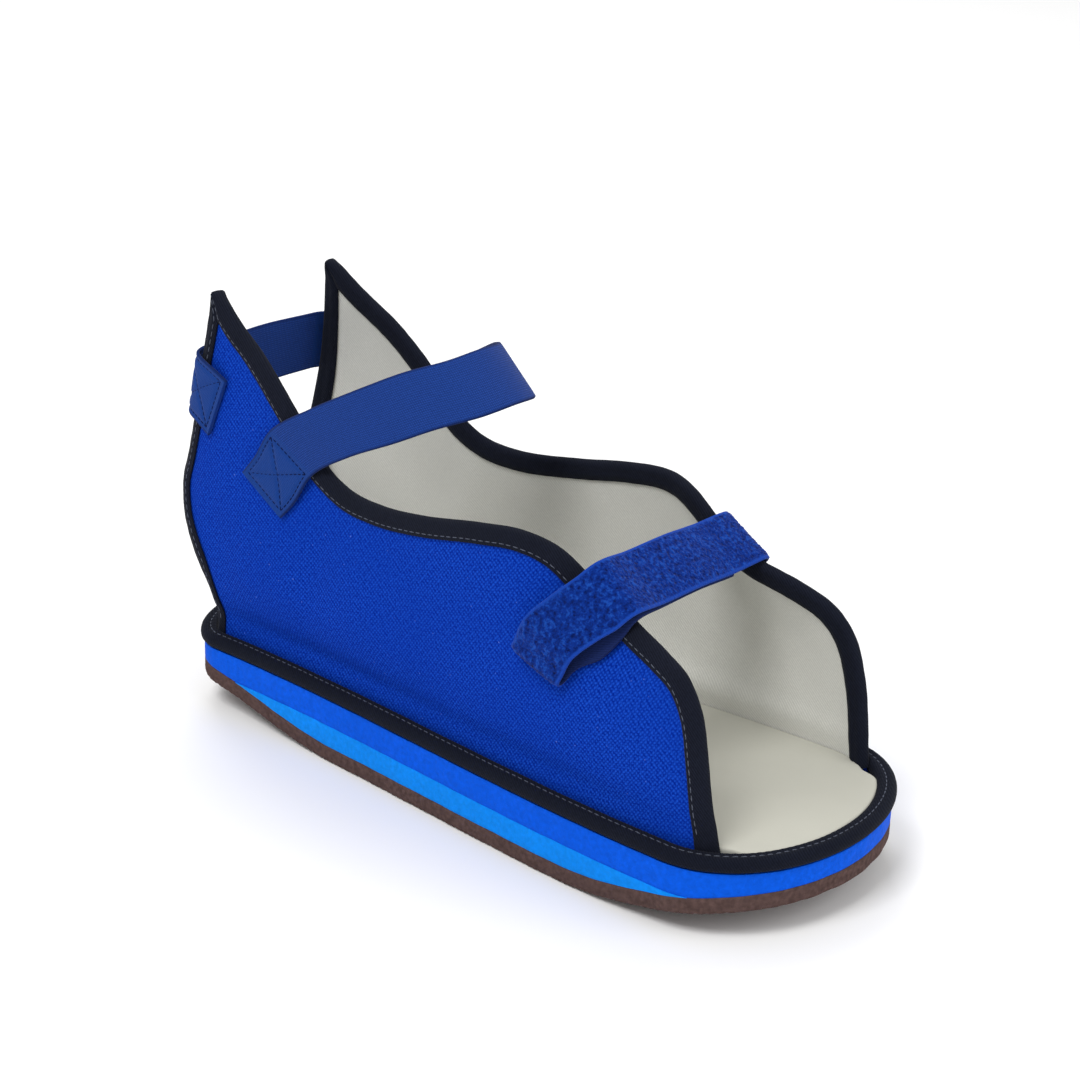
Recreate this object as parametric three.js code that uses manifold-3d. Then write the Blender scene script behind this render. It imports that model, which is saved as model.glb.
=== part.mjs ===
// A cast shoe for either foot: a laminated rocker sole, a canvas upper open at toe, heel and throat,
// bound edges and three straps. Millimetres, +Z up, +X to the toe, -Y the shoe's right side.
// The origin is on the floor under the middle of the sole.
import * as THREE from "three";
import { mergeVertices } from "three/addons/utils/BufferGeometryUtils.js";
import Module from "manifold-3d";

const wasm = await Module();
wasm.setup();

// Fit between touching pieces
const GAP = 0.3;

// Sole outline, the same on both sides
const SOLE_LENGTH = 300;
const BALL_WIDTH = 114;
const HEEL_WIDTH = 83;
const HEEL_ROUND = 24;
const TOE_ROUND = 42;
const HEEL_POWER = 1.9;
const TOE_POWER = 2.05;

// Sole layers and the rocker ground into them
const OUTSOLE_THICK = 6.5;
const WEDGE_THICK = 8.5;
const MIDSOLE_THICK = 11;
const FLAT_BACK = 58;
const FLAT_FRONT = 60;
const HEEL_LIFT = 13;
const TOE_LIFT = 12;
const WEDGE_TIP = 0.3;

// Padded band round the top of the sole
const BAND_WIDTH = 7.5;
const BAND_HEIGHT = 6;
const BAND_OVERHANG = 1.5;

// Upper: side panels on a flat margin that is glued under the insole
const WALL_THICK = 3;
const MARGIN_THICK = 2;
const MARGIN_WIDTH = 16;
const PANEL_HEIGHT = 141.5;
const PANEL_BACK = 133;
const PANEL_FRONT = 125.4;

// Insole board
const INSOLE_THICK = 5;

// Binding folded over the free edge of each panel
const BINDING_THICK = 0.9;
const BINDING_WIDTH = 8;

// Straps
const WEBBING_WIDTH = 25;
const WEBBING_THICK = 1.6;
const TAPE_WIDTH = 22;
const TAPE_THICK = 2;
const FOLD_SPREAD = 4;
const FOLD_LENGTH = 36;
const FOLD_TURNS = 6;
const LAYER_SPREAD = 0.5;
const TAPE_UNDER_STOP = 52;

// Derived places
const HALF_LENGTH = SOLE_LENGTH / 2;
const HALF_BALL = BALL_WIDTH / 2;
const WEDGE_TOP = OUTSOLE_THICK + WEDGE_THICK;
const SOLE_TOP = WEDGE_TOP + MIDSOLE_THICK;
const UPPER_BASE = SOLE_TOP + GAP;
const WALL_INSET = BAND_WIDTH - BAND_OVERHANG + GAP;
const BAND_TOP = BAND_HEIGHT + GAP;

// The panel's free edge seen from the side, from the back of the heel over the top to the toe:
// along as a share of the half length, up as a share of the panel height.
const PANEL_EDGE = [
  { along: -0.887, up: 0 },
  { along: -0.89, up: 0.055 },
  { along: -0.902, up: 0.14 },
  { along: -0.931, up: 0.25 },
  { along: -0.984, up: 0.375 },
  { along: -0.998, up: 0.46 },
  { along: -0.972, up: 0.56 },
  { along: -0.943, up: 0.7 },
  { along: -0.918, up: 0.87 },
  { along: -0.907, up: 0.955 },
  { along: -0.895, up: 1.01 },
  { along: -0.865, up: 1 },
  { along: -0.787, up: 0.943 },
  { along: -0.693, up: 0.88 },
  { along: -0.607, up: 0.805 },
  { along: -0.53, up: 0.726 },
  { along: -0.465, up: 0.65 },
  { along: -0.38, up: 0.606 },
  { along: -0.26, up: 0.597 },
  { along: -0.1, up: 0.619 },
  { along: 0.07, up: 0.655 },
  { along: 0.2, up: 0.671 },
  { along: 0.29, up: 0.652 },
  { along: 0.4, up: 0.582 },
  { along: 0.5, up: 0.528 },
  { along: 0.62, up: 0.486 },
  { along: 0.7, up: 0.446 },
  { along: 0.757, up: 0.372 },
  { along: 0.79, up: 0.26 },
  { along: 0.813, up: 0.13 },
  { along: 0.836, up: 0 },
];

// Half widths over the outside of the panels, as shares of half the ball width, at three heights.
const PANEL_SECTIONS = [
  { along: -1.02, low: 0.61, middle: 0.5, high: 0.44 },
  { along: -0.89, low: 0.71, middle: 0.67, high: 0.56 },
  { along: -0.73, low: 0.75, middle: 0.72, high: 0.58 },
  { along: -0.6, low: 0.755, middle: 0.715, high: 0.6 },
  { along: -0.46, low: 0.765, middle: 0.69, high: 0.6 },
  { along: -0.3, low: 0.79, middle: 0.7, high: 0.6 },
  { along: -0.07, low: 0.825, middle: 0.757, high: 0.6 },
  { along: 0.2, low: 0.86, middle: 0.765, high: 0.55 },
  { along: 0.36, low: 0.875, middle: 0.645, high: 0.4 },
  { along: 0.47, low: 0.865, middle: 0.53, high: 0.3 },
  { along: 0.57, low: 0.86, middle: 0.555, high: 0.3 },
  { along: 0.68, low: 0.85, middle: 0.61, high: 0.35 },
  { along: 0.79, low: 0.83, middle: 0.7, high: 0.45 },
  { along: 0.88, low: 0.79, middle: 0.72, high: 0.5 },
];
const LOW_SHARE = 0.32;
const MIDDLE_SHARE = 0.64;

// The straps' middle lines on the shoe's right half, from the sewn end to the shoe's middle; a
// webbing strap's left half is the mirror image. A row on the panel has off, how far it stands off
// the panel in millimetres; a free row has out, a share of half the ball width. turn is the lean of
// the strap's width from upright, in degrees, with its top to the heel.
const ANKLE_STRAP = [
  { along: -0.641, up: 0.522, off: 1.6, turn: 59 },
  { along: -0.6, up: 0.576, off: 1.8, turn: 59 },
  { along: -0.548, up: 0.664, off: 2.8, turn: 60 },
  { along: -0.439, up: 0.742, off: 1.8, turn: 58 },
  { along: -0.318, up: 0.812, out: 0.589, turn: 50 },
  { along: -0.226, up: 0.864, out: 0.45, turn: 47 },
  { along: -0.151, up: 0.897, out: 0.257, turn: 47 },
  { along: -0.13, up: 0.91, out: 0, turn: 47 },
];
const HEEL_STRAP = [
  { along: -0.825, up: 0.71, off: 1.4, turn: -18 },
  { along: -0.87, up: 0.731, off: 2.2, turn: -17 },
  { along: -0.91, up: 0.745, off: 2.9, turn: -14 },
  { along: -0.9385, up: 0.754, out: 0.66, turn: -12 },
  { along: -0.953, up: 0.757, out: 0.6, turn: -11 },
  { along: -0.958, up: 0.759, out: 0.42, turn: -8 },
  { along: -0.962, up: 0.761, out: 0, turn: -4 },
];
const FOREFOOT_STRAP = [
  { along: 0.3195, up: 0.3755, off: 1.5, turn: 70 },
  { along: 0.3475, up: 0.445, off: 1.9, turn: 66 },
  { along: 0.39, up: 0.499, off: 3.1, turn: 62 },
  { along: 0.427, up: 0.536, off: 4.2, turn: 56 },
  { along: 0.453, up: 0.566, off: 4.2, turn: 56 },
  { along: 0.452, up: 0.569, out: 0.402, turn: 54 },
  { along: 0.452, up: 0.57, out: 0, turn: 54 },
];
// The tape's left rows, from its sewn end to the panel's edge, lie closer than the right ones.
const FOREFOOT_LEFT = [
  { along: 0.319, up: 0.376, off: 1.5, turn: 69 },
  { along: 0.352, up: 0.441, off: 1.8, turn: 65 },
  { along: 0.392, up: 0.496, off: 2.2, turn: 61 },
  { along: 0.427, up: 0.53, off: 3.3, turn: 60 },
  { along: 0.442, up: 0.562, off: 3.2, turn: 58 },
  { along: 0.448, up: 0.57, out: 0.41, turn: 55 },
];

// Grid of the panel surface
const PANEL_COLUMNS = 23;
const PANEL_ROWS = 10;
const COLUMN_CROWDING = 0.6;
const CORNER_COLUMNS = 4;
const CORNER_STEP = 2.4;
const EDGE_STEP = 9;
const PRISM_REACH = 90;
const BELOW = 30;

// Numbers used by the smooth curves
const OUTLINE_STEPS = { heel: 11, side: 18, toe: 13 };
const FINE_STEPS = { heel: 80, side: 80, toe: 80 };
const STRAP_STEP = 4.5;
const MERGE_WITHIN = 1e-4;
const LEAST_STEP = 0.4;

function smoothstep(share) {
  const t = Math.min(Math.max(share, 0), 1);
  return t * t * (3 - 2 * t);
}

// A smooth curve through knots at uneven places, with a level start where flatStart is set.
function through(places, values, at, flatStart = false) {
  const last = places.length - 1;
  const x = Math.min(Math.max(at, places[0]), places[last]);
  let i = 0;
  while (i < last - 1 && x > places[i + 1]) i += 1;
  const slope = (k) => (values[k + 1] - values[k]) / (places[k + 1] - places[k]);
  const tangent = (k) => {
    if (k === 0) return flatStart ? 0 : slope(0);
    if (k === last) return slope(last - 1);
    return (values[k + 1] - values[k - 1]) / (places[k + 1] - places[k - 1]);
  };
  const span = places[i + 1] - places[i];
  const t = (x - places[i]) / span;
  const a = (1 + 2 * t) * (1 - t) * (1 - t);
  const b = t * (1 - t) * (1 - t);
  const c = t * t * (3 - 2 * t);
  const d = t * t * (t - 1);
  return a * values[i] + b * span * tangent(i) + c * values[i + 1] + d * span * tangent(i + 1);
}

// A point of the sole outline's half: heel quarter, side and toe quarter, each for t from 0 to 1.
function outlinePoint(part, t) {
  const halfHeel = HEEL_WIDTH / 2;
  if (part === "heel") {
    const angle = (t * Math.PI) / 2;
    const x = HEEL_ROUND - HEEL_ROUND * Math.cos(angle) ** (2 / HEEL_POWER) - HALF_LENGTH;
    return new THREE.Vector2(x, halfHeel * Math.sin(angle) ** (2 / HEEL_POWER));
  }
  if (part === "side") {
    const x = HEEL_ROUND - HALF_LENGTH + (SOLE_LENGTH - HEEL_ROUND - TOE_ROUND) * t;
    return new THREE.Vector2(x, halfHeel + (HALF_BALL - halfHeel) * smoothstep(t));
  }
  const angle = ((1 - t) * Math.PI) / 2;
  const x = HALF_LENGTH - TOE_ROUND + TOE_ROUND * Math.cos(angle) ** (2 / TOE_POWER);
  return new THREE.Vector2(x, HALF_BALL * Math.sin(angle) ** (2 / TOE_POWER));
}

// The half outline from heel to toe, drawn in by inset, which may be a number or a function of x.
function halfOutline(inset, steps = OUTLINE_STEPS) {
  const near = [];
  const add = (part, from, to) => {
    for (let i = from; i <= to; i += 1) near.push(outlinePoint(part, i / steps[part]));
  };
  add("heel", 0, steps.heel);
  add("side", 1, steps.side);
  add("toe", 1, steps.toe);
  const last = near.length - 1;
  return near.map((p, i) => {
    const before = i === 0 ? new THREE.Vector2(near[1].x, -near[1].y) : near[i - 1];
    const after = i === last ? new THREE.Vector2(near[last - 1].x, -near[last - 1].y) : near[i + 1];
    const along = after.clone().sub(before).normalize();
    const depth = typeof inset === "function" ? inset(p.x) : inset;
    const moved = new THREE.Vector2(p.x + along.y * depth, p.y - along.x * depth);
    if (i === 0 || i === last) moved.y = 0;
    return moved;
  });
}

// The whole outline as a closed ring, counterclockwise from the heel's middle past the right side.
function ring(inset, steps = OUTLINE_STEPS) {
  const half = halfOutline(inset, steps);
  const right = half.map((p) => new THREE.Vector2(p.x, -p.y));
  const left = half.slice(1, -1).reverse();
  return [...right, ...left];
}

const wallLine = halfOutline(WALL_INSET, FINE_STEPS);

// Half width of the panels' outside at the sole.
function wallLineWidth(x) {
  let i = 0;
  while (i < wallLine.length - 2 && x > wallLine[i + 1].x) i += 1;
  const a = wallLine[i];
  const b = wallLine[i + 1];
  return a.y + ((b.y - a.y) * (x - a.x)) / (b.x - a.x);
}

// Half width of the panels' outside at a place along the shoe and a height over the sole.
function panelHalfWidth(x, height) {
  const places = PANEL_SECTIONS.map((row) => row.along * HALF_LENGTH);
  const column = (name) =>
    HALF_BALL * through(places, PANEL_SECTIONS.map((row) => row[name]), x);
  const foot = wallLineWidth(Math.max(x, -PANEL_BACK));
  const heights = [BAND_TOP, LOW_SHARE * PANEL_HEIGHT, MIDDLE_SHARE * PANEL_HEIGHT, PANEL_HEIGHT];
  const widths = [foot, column("low"), column("middle"), column("high")];
  return through(heights, widths, height, true);
}

// A point of the right panel's outside, moved out along its normal.
function panelPoint(x, height, out) {
  const step = 0.5;
  const at = (dx, dh) =>
    new THREE.Vector3(x + dx, -panelHalfWidth(x + dx, height + dh), UPPER_BASE + height + dh);
  const alongX = at(step, 0).sub(at(-step, 0));
  const alongZ = at(0, step).sub(at(0, -step));
  const normal = alongX.cross(alongZ).normalize();
  return at(0, 0).addScaledVector(normal, out);
}

// Meshes and solids
function geometryOf(points, triangles) {
  const made = new THREE.BufferGeometry();
  const places = points.flatMap((p) => [p.x, p.y, p.z]);
  made.setAttribute("position", new THREE.Float32BufferAttribute(places, 3));
  made.setIndex(triangles);
  return made;
}

function solidOf(geometry) {
  const bare = geometry.clone();
  bare.deleteAttribute("normal");
  bare.deleteAttribute("uv");
  const merged = mergeVertices(bare, MERGE_WITHIN);
  const vertProperties = new Float32Array(merged.attributes.position.array);
  const triVerts = new Uint32Array(merged.index.array);
  return new wasm.Manifold(new wasm.Mesh({ numProp: 3, vertProperties, triVerts }));
}

function geometryFrom(solid) {
  const mesh = solid.getMesh();
  const made = new THREE.BufferGeometry();
  const points = [];
  for (let i = 0; i < mesh.numVert; i += 1) {
    points.push(...mesh.vertProperties.subarray(i * mesh.numProp, i * mesh.numProp + 3));
  }
  made.setAttribute("position", new THREE.Float32BufferAttribute(points, 3));
  made.setIndex(Array.from(mesh.triVerts));
  made.computeVertexNormals();
  return made;
}

function mirrored(geometry) {
  const made = geometry.clone();
  const places = made.attributes.position;
  for (let i = 0; i < places.count; i += 1) places.setY(i, -places.getY(i));
  const order = made.index.array;
  for (let i = 0; i < order.length; i += 3) {
    [order[i + 1], order[i + 2]] = [order[i + 2], order[i + 1]];
  }
  made.computeVertexNormals();
  return made;
}

// Joins sections of as many points each into a skin, capped at both ends or closed on itself.
function skin(sections, closed = false) {
  const count = sections[0].length;
  const points = sections.flat();
  const triangles = [];
  const spans = closed ? sections.length : sections.length - 1;
  for (let i = 0; i < spans; i += 1) {
    const a = i * count;
    const b = ((i + 1) % sections.length) * count;
    for (let k = 0; k < count; k += 1) {
      const next = (k + 1) % count;
      triangles.push(a + k, b + k, b + next, a + k, b + next, a + next);
    }
  }
  if (!closed) {
    const end = (sections.length - 1) * count;
    for (let k = 1; k < count - 1; k += 1) {
      triangles.push(0, k, k + 1, end, end + k + 1, end + k);
    }
  }
  return geometryOf(points, triangles);
}

function flatPlate(points, low, high, hole = null) {
  const shape = new THREE.Shape(points);
  if (hole) shape.holes.push(new THREE.Path(hole));
  const plate = new THREE.ExtrudeGeometry(shape, { depth: high - low, bevelEnabled: false });
  plate.translate(0, 0, low);
  return plate;
}

// Sole
function rockerBottom(x) {
  const rise = (reach, from, lift) => {
    const share = Math.min(Math.max((reach - from) / (HALF_LENGTH - from), 0), 1);
    return lift * Math.sin((share * Math.PI) / 2) ** 2;
  };
  return x < 0 ? rise(-x, FLAT_BACK, HEEL_LIFT) : rise(x, FLAT_FRONT, TOE_LIFT);
}

// A layer of the sole between two heights that change along the shoe, from one place along it to
// another. A full layer ends in a short straight line at heel and toe.
function soleLayer(low, high, from = -HALF_LENGTH, to = HALF_LENGTH) {
  const blunt = 0.12;
  const heelStart = outlinePoint("heel", blunt);
  const toeEnd = outlinePoint("toe", 1 - blunt);
  const between = (points, a, b) => points.filter((p) => p.x > a + LEAST_STEP && p.x < b - LEAST_STEP);
  let stations = [heelStart, ...between(halfOutline(0), heelStart.x, toeEnd.x), toeEnd];
  if (from > -HALF_LENGTH || to < HALF_LENGTH) {
    const places = stations.map((p) => p.x);
    const widths = stations.map((p) => p.y);
    const cut = (x) => new THREE.Vector2(x, through(places, widths, x));
    stations = [cut(from), ...between(stations, from, to), cut(to)];
  }
  const sections = stations.map((p) => [
    new THREE.Vector3(p.x, -p.y, low(p.x)),
    new THREE.Vector3(p.x, -p.y, high(p.x)),
    new THREE.Vector3(p.x, p.y, high(p.x)),
    new THREE.Vector3(p.x, p.y, low(p.x)),
  ]);
  return skin(sections);
}

const outsoleTop = (x) => rockerBottom(x) + OUTSOLE_THICK;
const wedgeBottom = (x) => outsoleTop(x) + GAP;
const midsoleBottom = (x) => Math.max(WEDGE_TOP, outsoleTop(x)) + GAP;

// Where the wedge has thinned to its tip, going from the middle of the shoe to side -1 or 1.
function wedgeEnd(side) {
  const halvings = 40;
  let near = 0;
  let far = HALF_LENGTH;
  for (let i = 0; i < halvings; i += 1) {
    const middle = (near + far) / 2;
    if (WEDGE_TOP - wedgeBottom(side * middle) > WEDGE_TIP) near = middle;
    else far = middle;
  }
  return side * near;
}

// The band's section, as shares of its height and of its width inside the sole's outline. A
// negative inset is outside that outline, as a share of the overhang.
const BAND_SECTION = [
  { inset: 1, up: 0 },
  { inset: 0, up: 0 },
  { inset: -0.65, up: 0.2 },
  { inset: -1, up: 0.48 },
  { inset: -0.4, up: 0.82 },
  { inset: 0.22, up: 1 },
  { inset: 0.7, up: 0.98 },
  { inset: 1, up: 0.72 },
];

function soleBand() {
  const depth = (row) => row.inset * (row.inset < 0 ? BAND_OVERHANG : BAND_WIDTH - BAND_OVERHANG);
  const rings = BAND_SECTION.map((row) => ring(depth(row)));
  const height = (row) => UPPER_BASE + row.up * BAND_HEIGHT;
  const point = (row, p) => new THREE.Vector3(p.x, p.y, height(row));
  const sections = rings[0].map((_, i) => BAND_SECTION.map((row, k) => point(row, rings[k][i])));
  return skin(sections, true);
}

// The insole reaches the panels' inside, and the band where no panel stands.
function insoleInset(x) {
  const besidePanel = WALL_INSET + WALL_THICK + GAP;
  const front = smoothstep((x - PANEL_FRONT - BAND_WIDTH) / BAND_WIDTH);
  const back = smoothstep((-x - PANEL_BACK - BAND_WIDTH) / BAND_WIDTH);
  return besidePanel + (WALL_INSET - besidePanel) * Math.max(front, back);
}

// The board lies on the upper's margin and reaches down to the sole inside it.
function insole() {
  const top = SOLE_TOP + INSOLE_THICK;
  const board = flatPlate(ring(insoleInset), UPPER_BASE + MARGIN_THICK + GAP, top);
  const core = flatPlate(innerMargin(GAP), UPPER_BASE, top);
  return geometryFrom(solidOf(board).add(solidOf(core)));
}

// The margin's inner edge, drawn in by a little more where a piece fits inside it.
function innerMargin(more) {
  const reach = HALF_LENGTH - WALL_INSET - MARGIN_WIDTH - more;
  return ring(0).map((p) => {
    const share = reach / HALF_LENGTH;
    const across = 1 - (WALL_INSET + MARGIN_WIDTH + more) / (HEEL_WIDTH / 2);
    return new THREE.Vector2(p.x * share, p.y * across);
  });
}

// Panels
function edgeCurve() {
  const place = (row) => new THREE.Vector3(row.along * HALF_LENGTH, row.up * PANEL_HEIGHT, 0);
  const rows = PANEL_EDGE.map(place);
  rows[0].x = -PANEL_BACK;
  rows[rows.length - 1].x = PANEL_FRONT;
  const curve = new THREE.CatmullRomCurve3(rows, false, "centripetal");
  const steps = Math.round(curve.getLength() / EDGE_STEP);
  const points = curve.getSpacedPoints(steps).map((p) => new THREE.Vector2(p.x, p.y));
  const start = new THREE.Vector2(points[0].x, -BELOW);
  const end = new THREE.Vector2(points[points.length - 1].x, -BELOW);
  return [start, ...points, end];
}

// The panel outline drawn in by depth. Where it would cross itself at the peak, points are dropped:
// those that lie nearer to the outline than depth, less a small slack for its chords.
function panelOutline(depth) {
  const slack = 0.02;
  const line = edgeCurve();
  const last = line.length - 1;
  const moved = line.map((p, i) => {
    const before = line[Math.max(i - 1, 0)];
    const after = line[Math.min(i + 1, last)];
    const along = after.clone().sub(before).normalize();
    return new THREE.Vector2(p.x + along.y * depth, p.y - along.x * depth);
  });
  const clear = (p) => {
    const near = (a, b) => {
      const ab = b.clone().sub(a);
      const t = Math.min(Math.max(p.clone().sub(a).dot(ab) / ab.lengthSq(), 0), 1);
      return a.clone().addScaledVector(ab, t).distanceTo(p);
    };
    return line.slice(0, -1).every((a, i) => near(a, line[i + 1]) > depth * (1 - slack) - slack);
  };
  return moved.filter(clear);
}

// Everything at the side of the shoe that lies inside a side outline.
function sidePrism(outline) {
  const shape = new THREE.Shape([...outline].reverse());
  const prism = new THREE.ExtrudeGeometry(shape, { depth: PRISM_REACH, bevelEnabled: false });
  prism.rotateX(Math.PI / 2);
  prism.translate(0, 0, UPPER_BASE);
  return solidOf(prism);
}

// A slab of the right panel's surface between two offsets from its outside, with the panel
// outline uncut.
function panelSlab(outer, inner, from) {
  const past = 4;
  const places = [];
  const start = Math.min(...edgeCurve().map((p) => p.x)) - past;
  const end = PANEL_FRONT + past;
  for (let i = 0; i <= PANEL_COLUMNS; i += 1) {
    const t = i / PANEL_COLUMNS;
    const crowded = t - (COLUMN_CROWDING * Math.sin(2 * Math.PI * t)) / (2 * Math.PI);
    places.push(start + (end - start) * crowded);
  }
  for (let k = 0; k < CORNER_COLUMNS; k += 1) places.push(k * CORNER_STEP - PANEL_BACK);
  places.sort((a, b) => a - b);
  const heights = [from, BAND_TOP];
  for (let k = 1; k <= PANEL_ROWS; k += 1) {
    heights.push(BAND_TOP + ((PANEL_HEIGHT + past - BAND_TOP) * k) / PANEL_ROWS);
  }
  const sections = places.map((x) => {
    const outside = heights.map((h) => panelPoint(x, h, outer));
    const inside = heights.map((h) => panelPoint(x, h, inner));
    return [...outside, ...inside.reverse()];
  });
  return solidOf(stripSlab(sections, heights.length));
}

// A skin over sections made of an outer and an inner run, with its two ends meshed run to run.
function stripSlab(sections, rows) {
  const body = skin(sections);
  const count = 2 * rows;
  const order = Array.from(body.index.array).slice(0, (sections.length - 1) * count * 6);
  const end = (sections.length - 1) * count;
  for (let k = 0; k < rows - 1; k += 1) {
    const a = k;
    const b = k + 1;
    const c = count - 2 - k;
    const d = count - 1 - k;
    order.push(a, b, c, a, c, d);
    order.push(end + a, end + c, end + b, end + a, end + d, end + c);
  }
  body.setIndex(order);
  return body;
}

function rightPanel() {
  const wall = panelSlab(0, -WALL_THICK, 0);
  return wall.intersect(sidePrism(panelOutline(BINDING_THICK + GAP)));
}

function rightBinding() {
  const lowest = BAND_TOP + GAP;
  const start = -BAND_HEIGHT;
  const shell = panelSlab(GAP + BINDING_THICK, -WALL_THICK - GAP - BINDING_THICK, start);
  const slot = panelSlab(GAP, -WALL_THICK - GAP, 2 * start);
  const shellCut = shell.intersect(sidePrism(panelOutline(0)));
  const slotCut = slot.intersect(sidePrism(panelOutline(BINDING_THICK)));
  const middle = sidePrism(panelOutline(BINDING_WIDTH));
  const floor = new THREE.BoxGeometry(2 * SOLE_LENGTH, 2 * SOLE_LENGTH, 2 * BELOW);
  floor.translate(0, 0, UPPER_BASE + lowest - BELOW);
  return geometryFrom(shellCut.subtract(slotCut).subtract(middle).subtract(solidOf(floor)));
}

// The margin starts inside the panels' wall, which it joins.
function upper() {
  const right = rightPanel();
  const left = solidOf(mirrored(geometryFrom(right)));
  const outer = ring(WALL_INSET + WALL_THICK / 3);
  const margin = solidOf(flatPlate(outer, UPPER_BASE, UPPER_BASE + MARGIN_THICK, innerMargin(0)));
  return geometryFrom(margin.add(right).add(left));
}

// Straps
// The two edges of a strap at one row, on the right half or, with side -1, mirrored.
function strapRow(row, width, side) {
  const x = row.along * HALF_LENGTH;
  const height = row.up * PANEL_HEIGHT;
  const turn = THREE.MathUtils.degToRad(row.turn);
  const dx = (-Math.sin(turn) * width) / 2;
  const dh = (Math.cos(turn) * width) / 2;
  const onPanel = row.off !== undefined;
  const free = (gx, gh) => new THREE.Vector3(gx, -row.out * HALF_BALL, UPPER_BASE + gh);
  const place = (gx, gh) => (onPanel ? panelPoint(gx, gh, row.off) : free(gx, gh));
  const middle = place(x, height);
  const across = place(x + dx, height + dh).sub(place(x - dx, height - dh)).setLength(width / 2);
  const top = middle.clone().add(across);
  const low = middle.clone().sub(across);
  top.y *= side;
  low.y *= side;
  return { top, low };
}

// Both edges of a strap as smooth curves from its right end to its left end.
function strapEdges(rows, leftRows, width) {
  const right = rows.map((row) => strapRow(row, width, 1));
  const left = leftRows.map((row) => strapRow(row, width, -1)).reverse();
  const edge = (name) =>
    new THREE.CatmullRomCurve3([...right, ...left].map((row) => row[name]), false, "centripetal");
  return { top: edge("top"), low: edge("low") };
}

// Sections of a strap: its two edges, its direction and its outward normal at even steps.
function strapFrames(rows, width, leftRows = rows.slice(0, -1)) {
  const { top, low } = strapEdges(rows, leftRows, width);
  const middle = (t) => top.getPoint(t).add(low.getPoint(t)).multiplyScalar(0.5);
  const steps = Math.round(top.getLength() / STRAP_STEP);
  const nearby = 0.05 / steps;
  const frames = [];
  for (let i = 0; i <= steps; i += 1) {
    const t = i / steps;
    const across = top.getPoint(t).sub(low.getPoint(t)).normalize();
    const along = middle(Math.min(t + nearby, 1)).sub(middle(Math.max(t - nearby, 0))).normalize();
    const normal = along.clone().cross(across).normalize();
    frames.push({ top: top.getPoint(t), low: low.getPoint(t), along, normal });
  }
  return frames;
}

// The four corners of a strap's section, thick along the outward direction and moved by lift.
function strapCorners(top, low, outward, thickness, lift) {
  const shift = (p, by) => p.clone().addScaledVector(outward, by + lift);
  const half = thickness / 2;
  return [shift(top, half), shift(top, -half), shift(low, -half), shift(low, half)];
}

function strapSection(frame, thickness, lift = 0) {
  return strapCorners(frame.top, frame.low, frame.normal, thickness, lift);
}

function webbing(rows) {
  return skin(strapFrames(rows, WEBBING_WIDTH).map((frame) => strapSection(frame, WEBBING_THICK)));
}

// The tape runs over the shoe from its sewn left end, folds under on the right panel and comes
// back beneath itself to the left panel's edge.
function foldedTape() {
  const frames = strapFrames(FOREFOOT_STRAP, TAPE_WIDTH, FOREFOOT_LEFT);
  const last = frames.length - 1;
  const underEnd = last - Math.round(TAPE_UNDER_STOP / STRAP_STEP);
  const apart = (i) => {
    const share = smoothstep((i * STRAP_STEP) / FOLD_LENGTH);
    return TAPE_THICK + FOLD_SPREAD + (LAYER_SPREAD - FOLD_SPREAD) * share;
  };
  const upperLift = (i) => apart(i) * (1 - smoothstep((i - underEnd) / (last - underEnd)));
  const sections = [];
  for (let i = last; i >= 0; i -= 1) {
    sections.push(strapSection(frames[i], TAPE_THICK, upperLift(i)));
  }
  const { top, low, along, normal } = frames[0];
  const radius = apart(0) / 2;
  const centre = (p) => p.clone().addScaledVector(normal, radius);
  for (let k = 1; k < FOLD_TURNS; k += 1) {
    const angle = (k * Math.PI) / FOLD_TURNS;
    const outward = normal.clone().multiplyScalar(Math.cos(angle));
    outward.addScaledVector(along, -Math.sin(angle));
    sections.push(strapCorners(centre(top), centre(low), outward, TAPE_THICK, radius));
  }
  for (let i = 0; i <= underEnd; i += 1) {
    const [outerTop, innerTop, innerLow, outerLow] = strapSection(frames[i], TAPE_THICK);
    sections.push([innerTop, outerTop, outerLow, innerLow]);
  }
  return skin(sections.map((section) => [...section].reverse()));
}

// The shoe
const shoe = new THREE.Group();

function add(name, geometry, colour, roughness) {
  const material = new THREE.MeshStandardMaterial({ color: colour, roughness, metalness: 0 });
  const mesh = new THREE.Mesh(geometry, material);
  mesh.name = name;
  shoe.add(mesh);
}

add("outsole", soleLayer(rockerBottom, outsoleTop), 0x5b3f3a, 0.85);
add("wedge", soleLayer(wedgeBottom, () => WEDGE_TOP, wedgeEnd(-1), wedgeEnd(1)), 0x0a84ee, 0.7);
add("midsole", soleLayer(midsoleBottom, () => SOLE_TOP), 0x0a4fd0, 0.7);
add("insole", insole(), 0xdedcd2, 0.6);
add("sole_band", soleBand(), 0x14161f, 0.8);
add("upper", upper(), 0x0c34b4, 0.9);
const binding = rightBinding();
add("edge_binding_right", binding, 0x14161f, 0.8);
add("edge_binding_left", mirrored(binding), 0x14161f, 0.8);
add("ankle_strap", webbing(ANKLE_STRAP), 0x284ba0, 0.75);
add("heel_strap", webbing(HEEL_STRAP), 0x284ba0, 0.75);
add("forefoot_strap", foldedTape(), 0x1c48b0, 0.95);

export default shoe;
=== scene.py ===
"""Dresses the cast shoe: rocker sole, band, insole, canvas upper, bindings, straps and stitches.

Lengths are in metres, +Z is up, +X points to the toe and -Y is the shoe's right side. The origin is
on the floor under the middle of the sole. Cloth, straps and sole layers start as a grid that is
extruded into a flat blank, the band as a torus and each stitch as a sphere. They are then bent over
the last, which knows the sole's outline and the panels.
"""

import logging
import math
from collections.abc import Callable, Sequence
from dataclasses import dataclass
from enum import Enum
from functools import cached_property, partial
from typing import NamedTuple

import bpy
import numpy as np
from mathutils import Matrix, Vector


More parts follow.
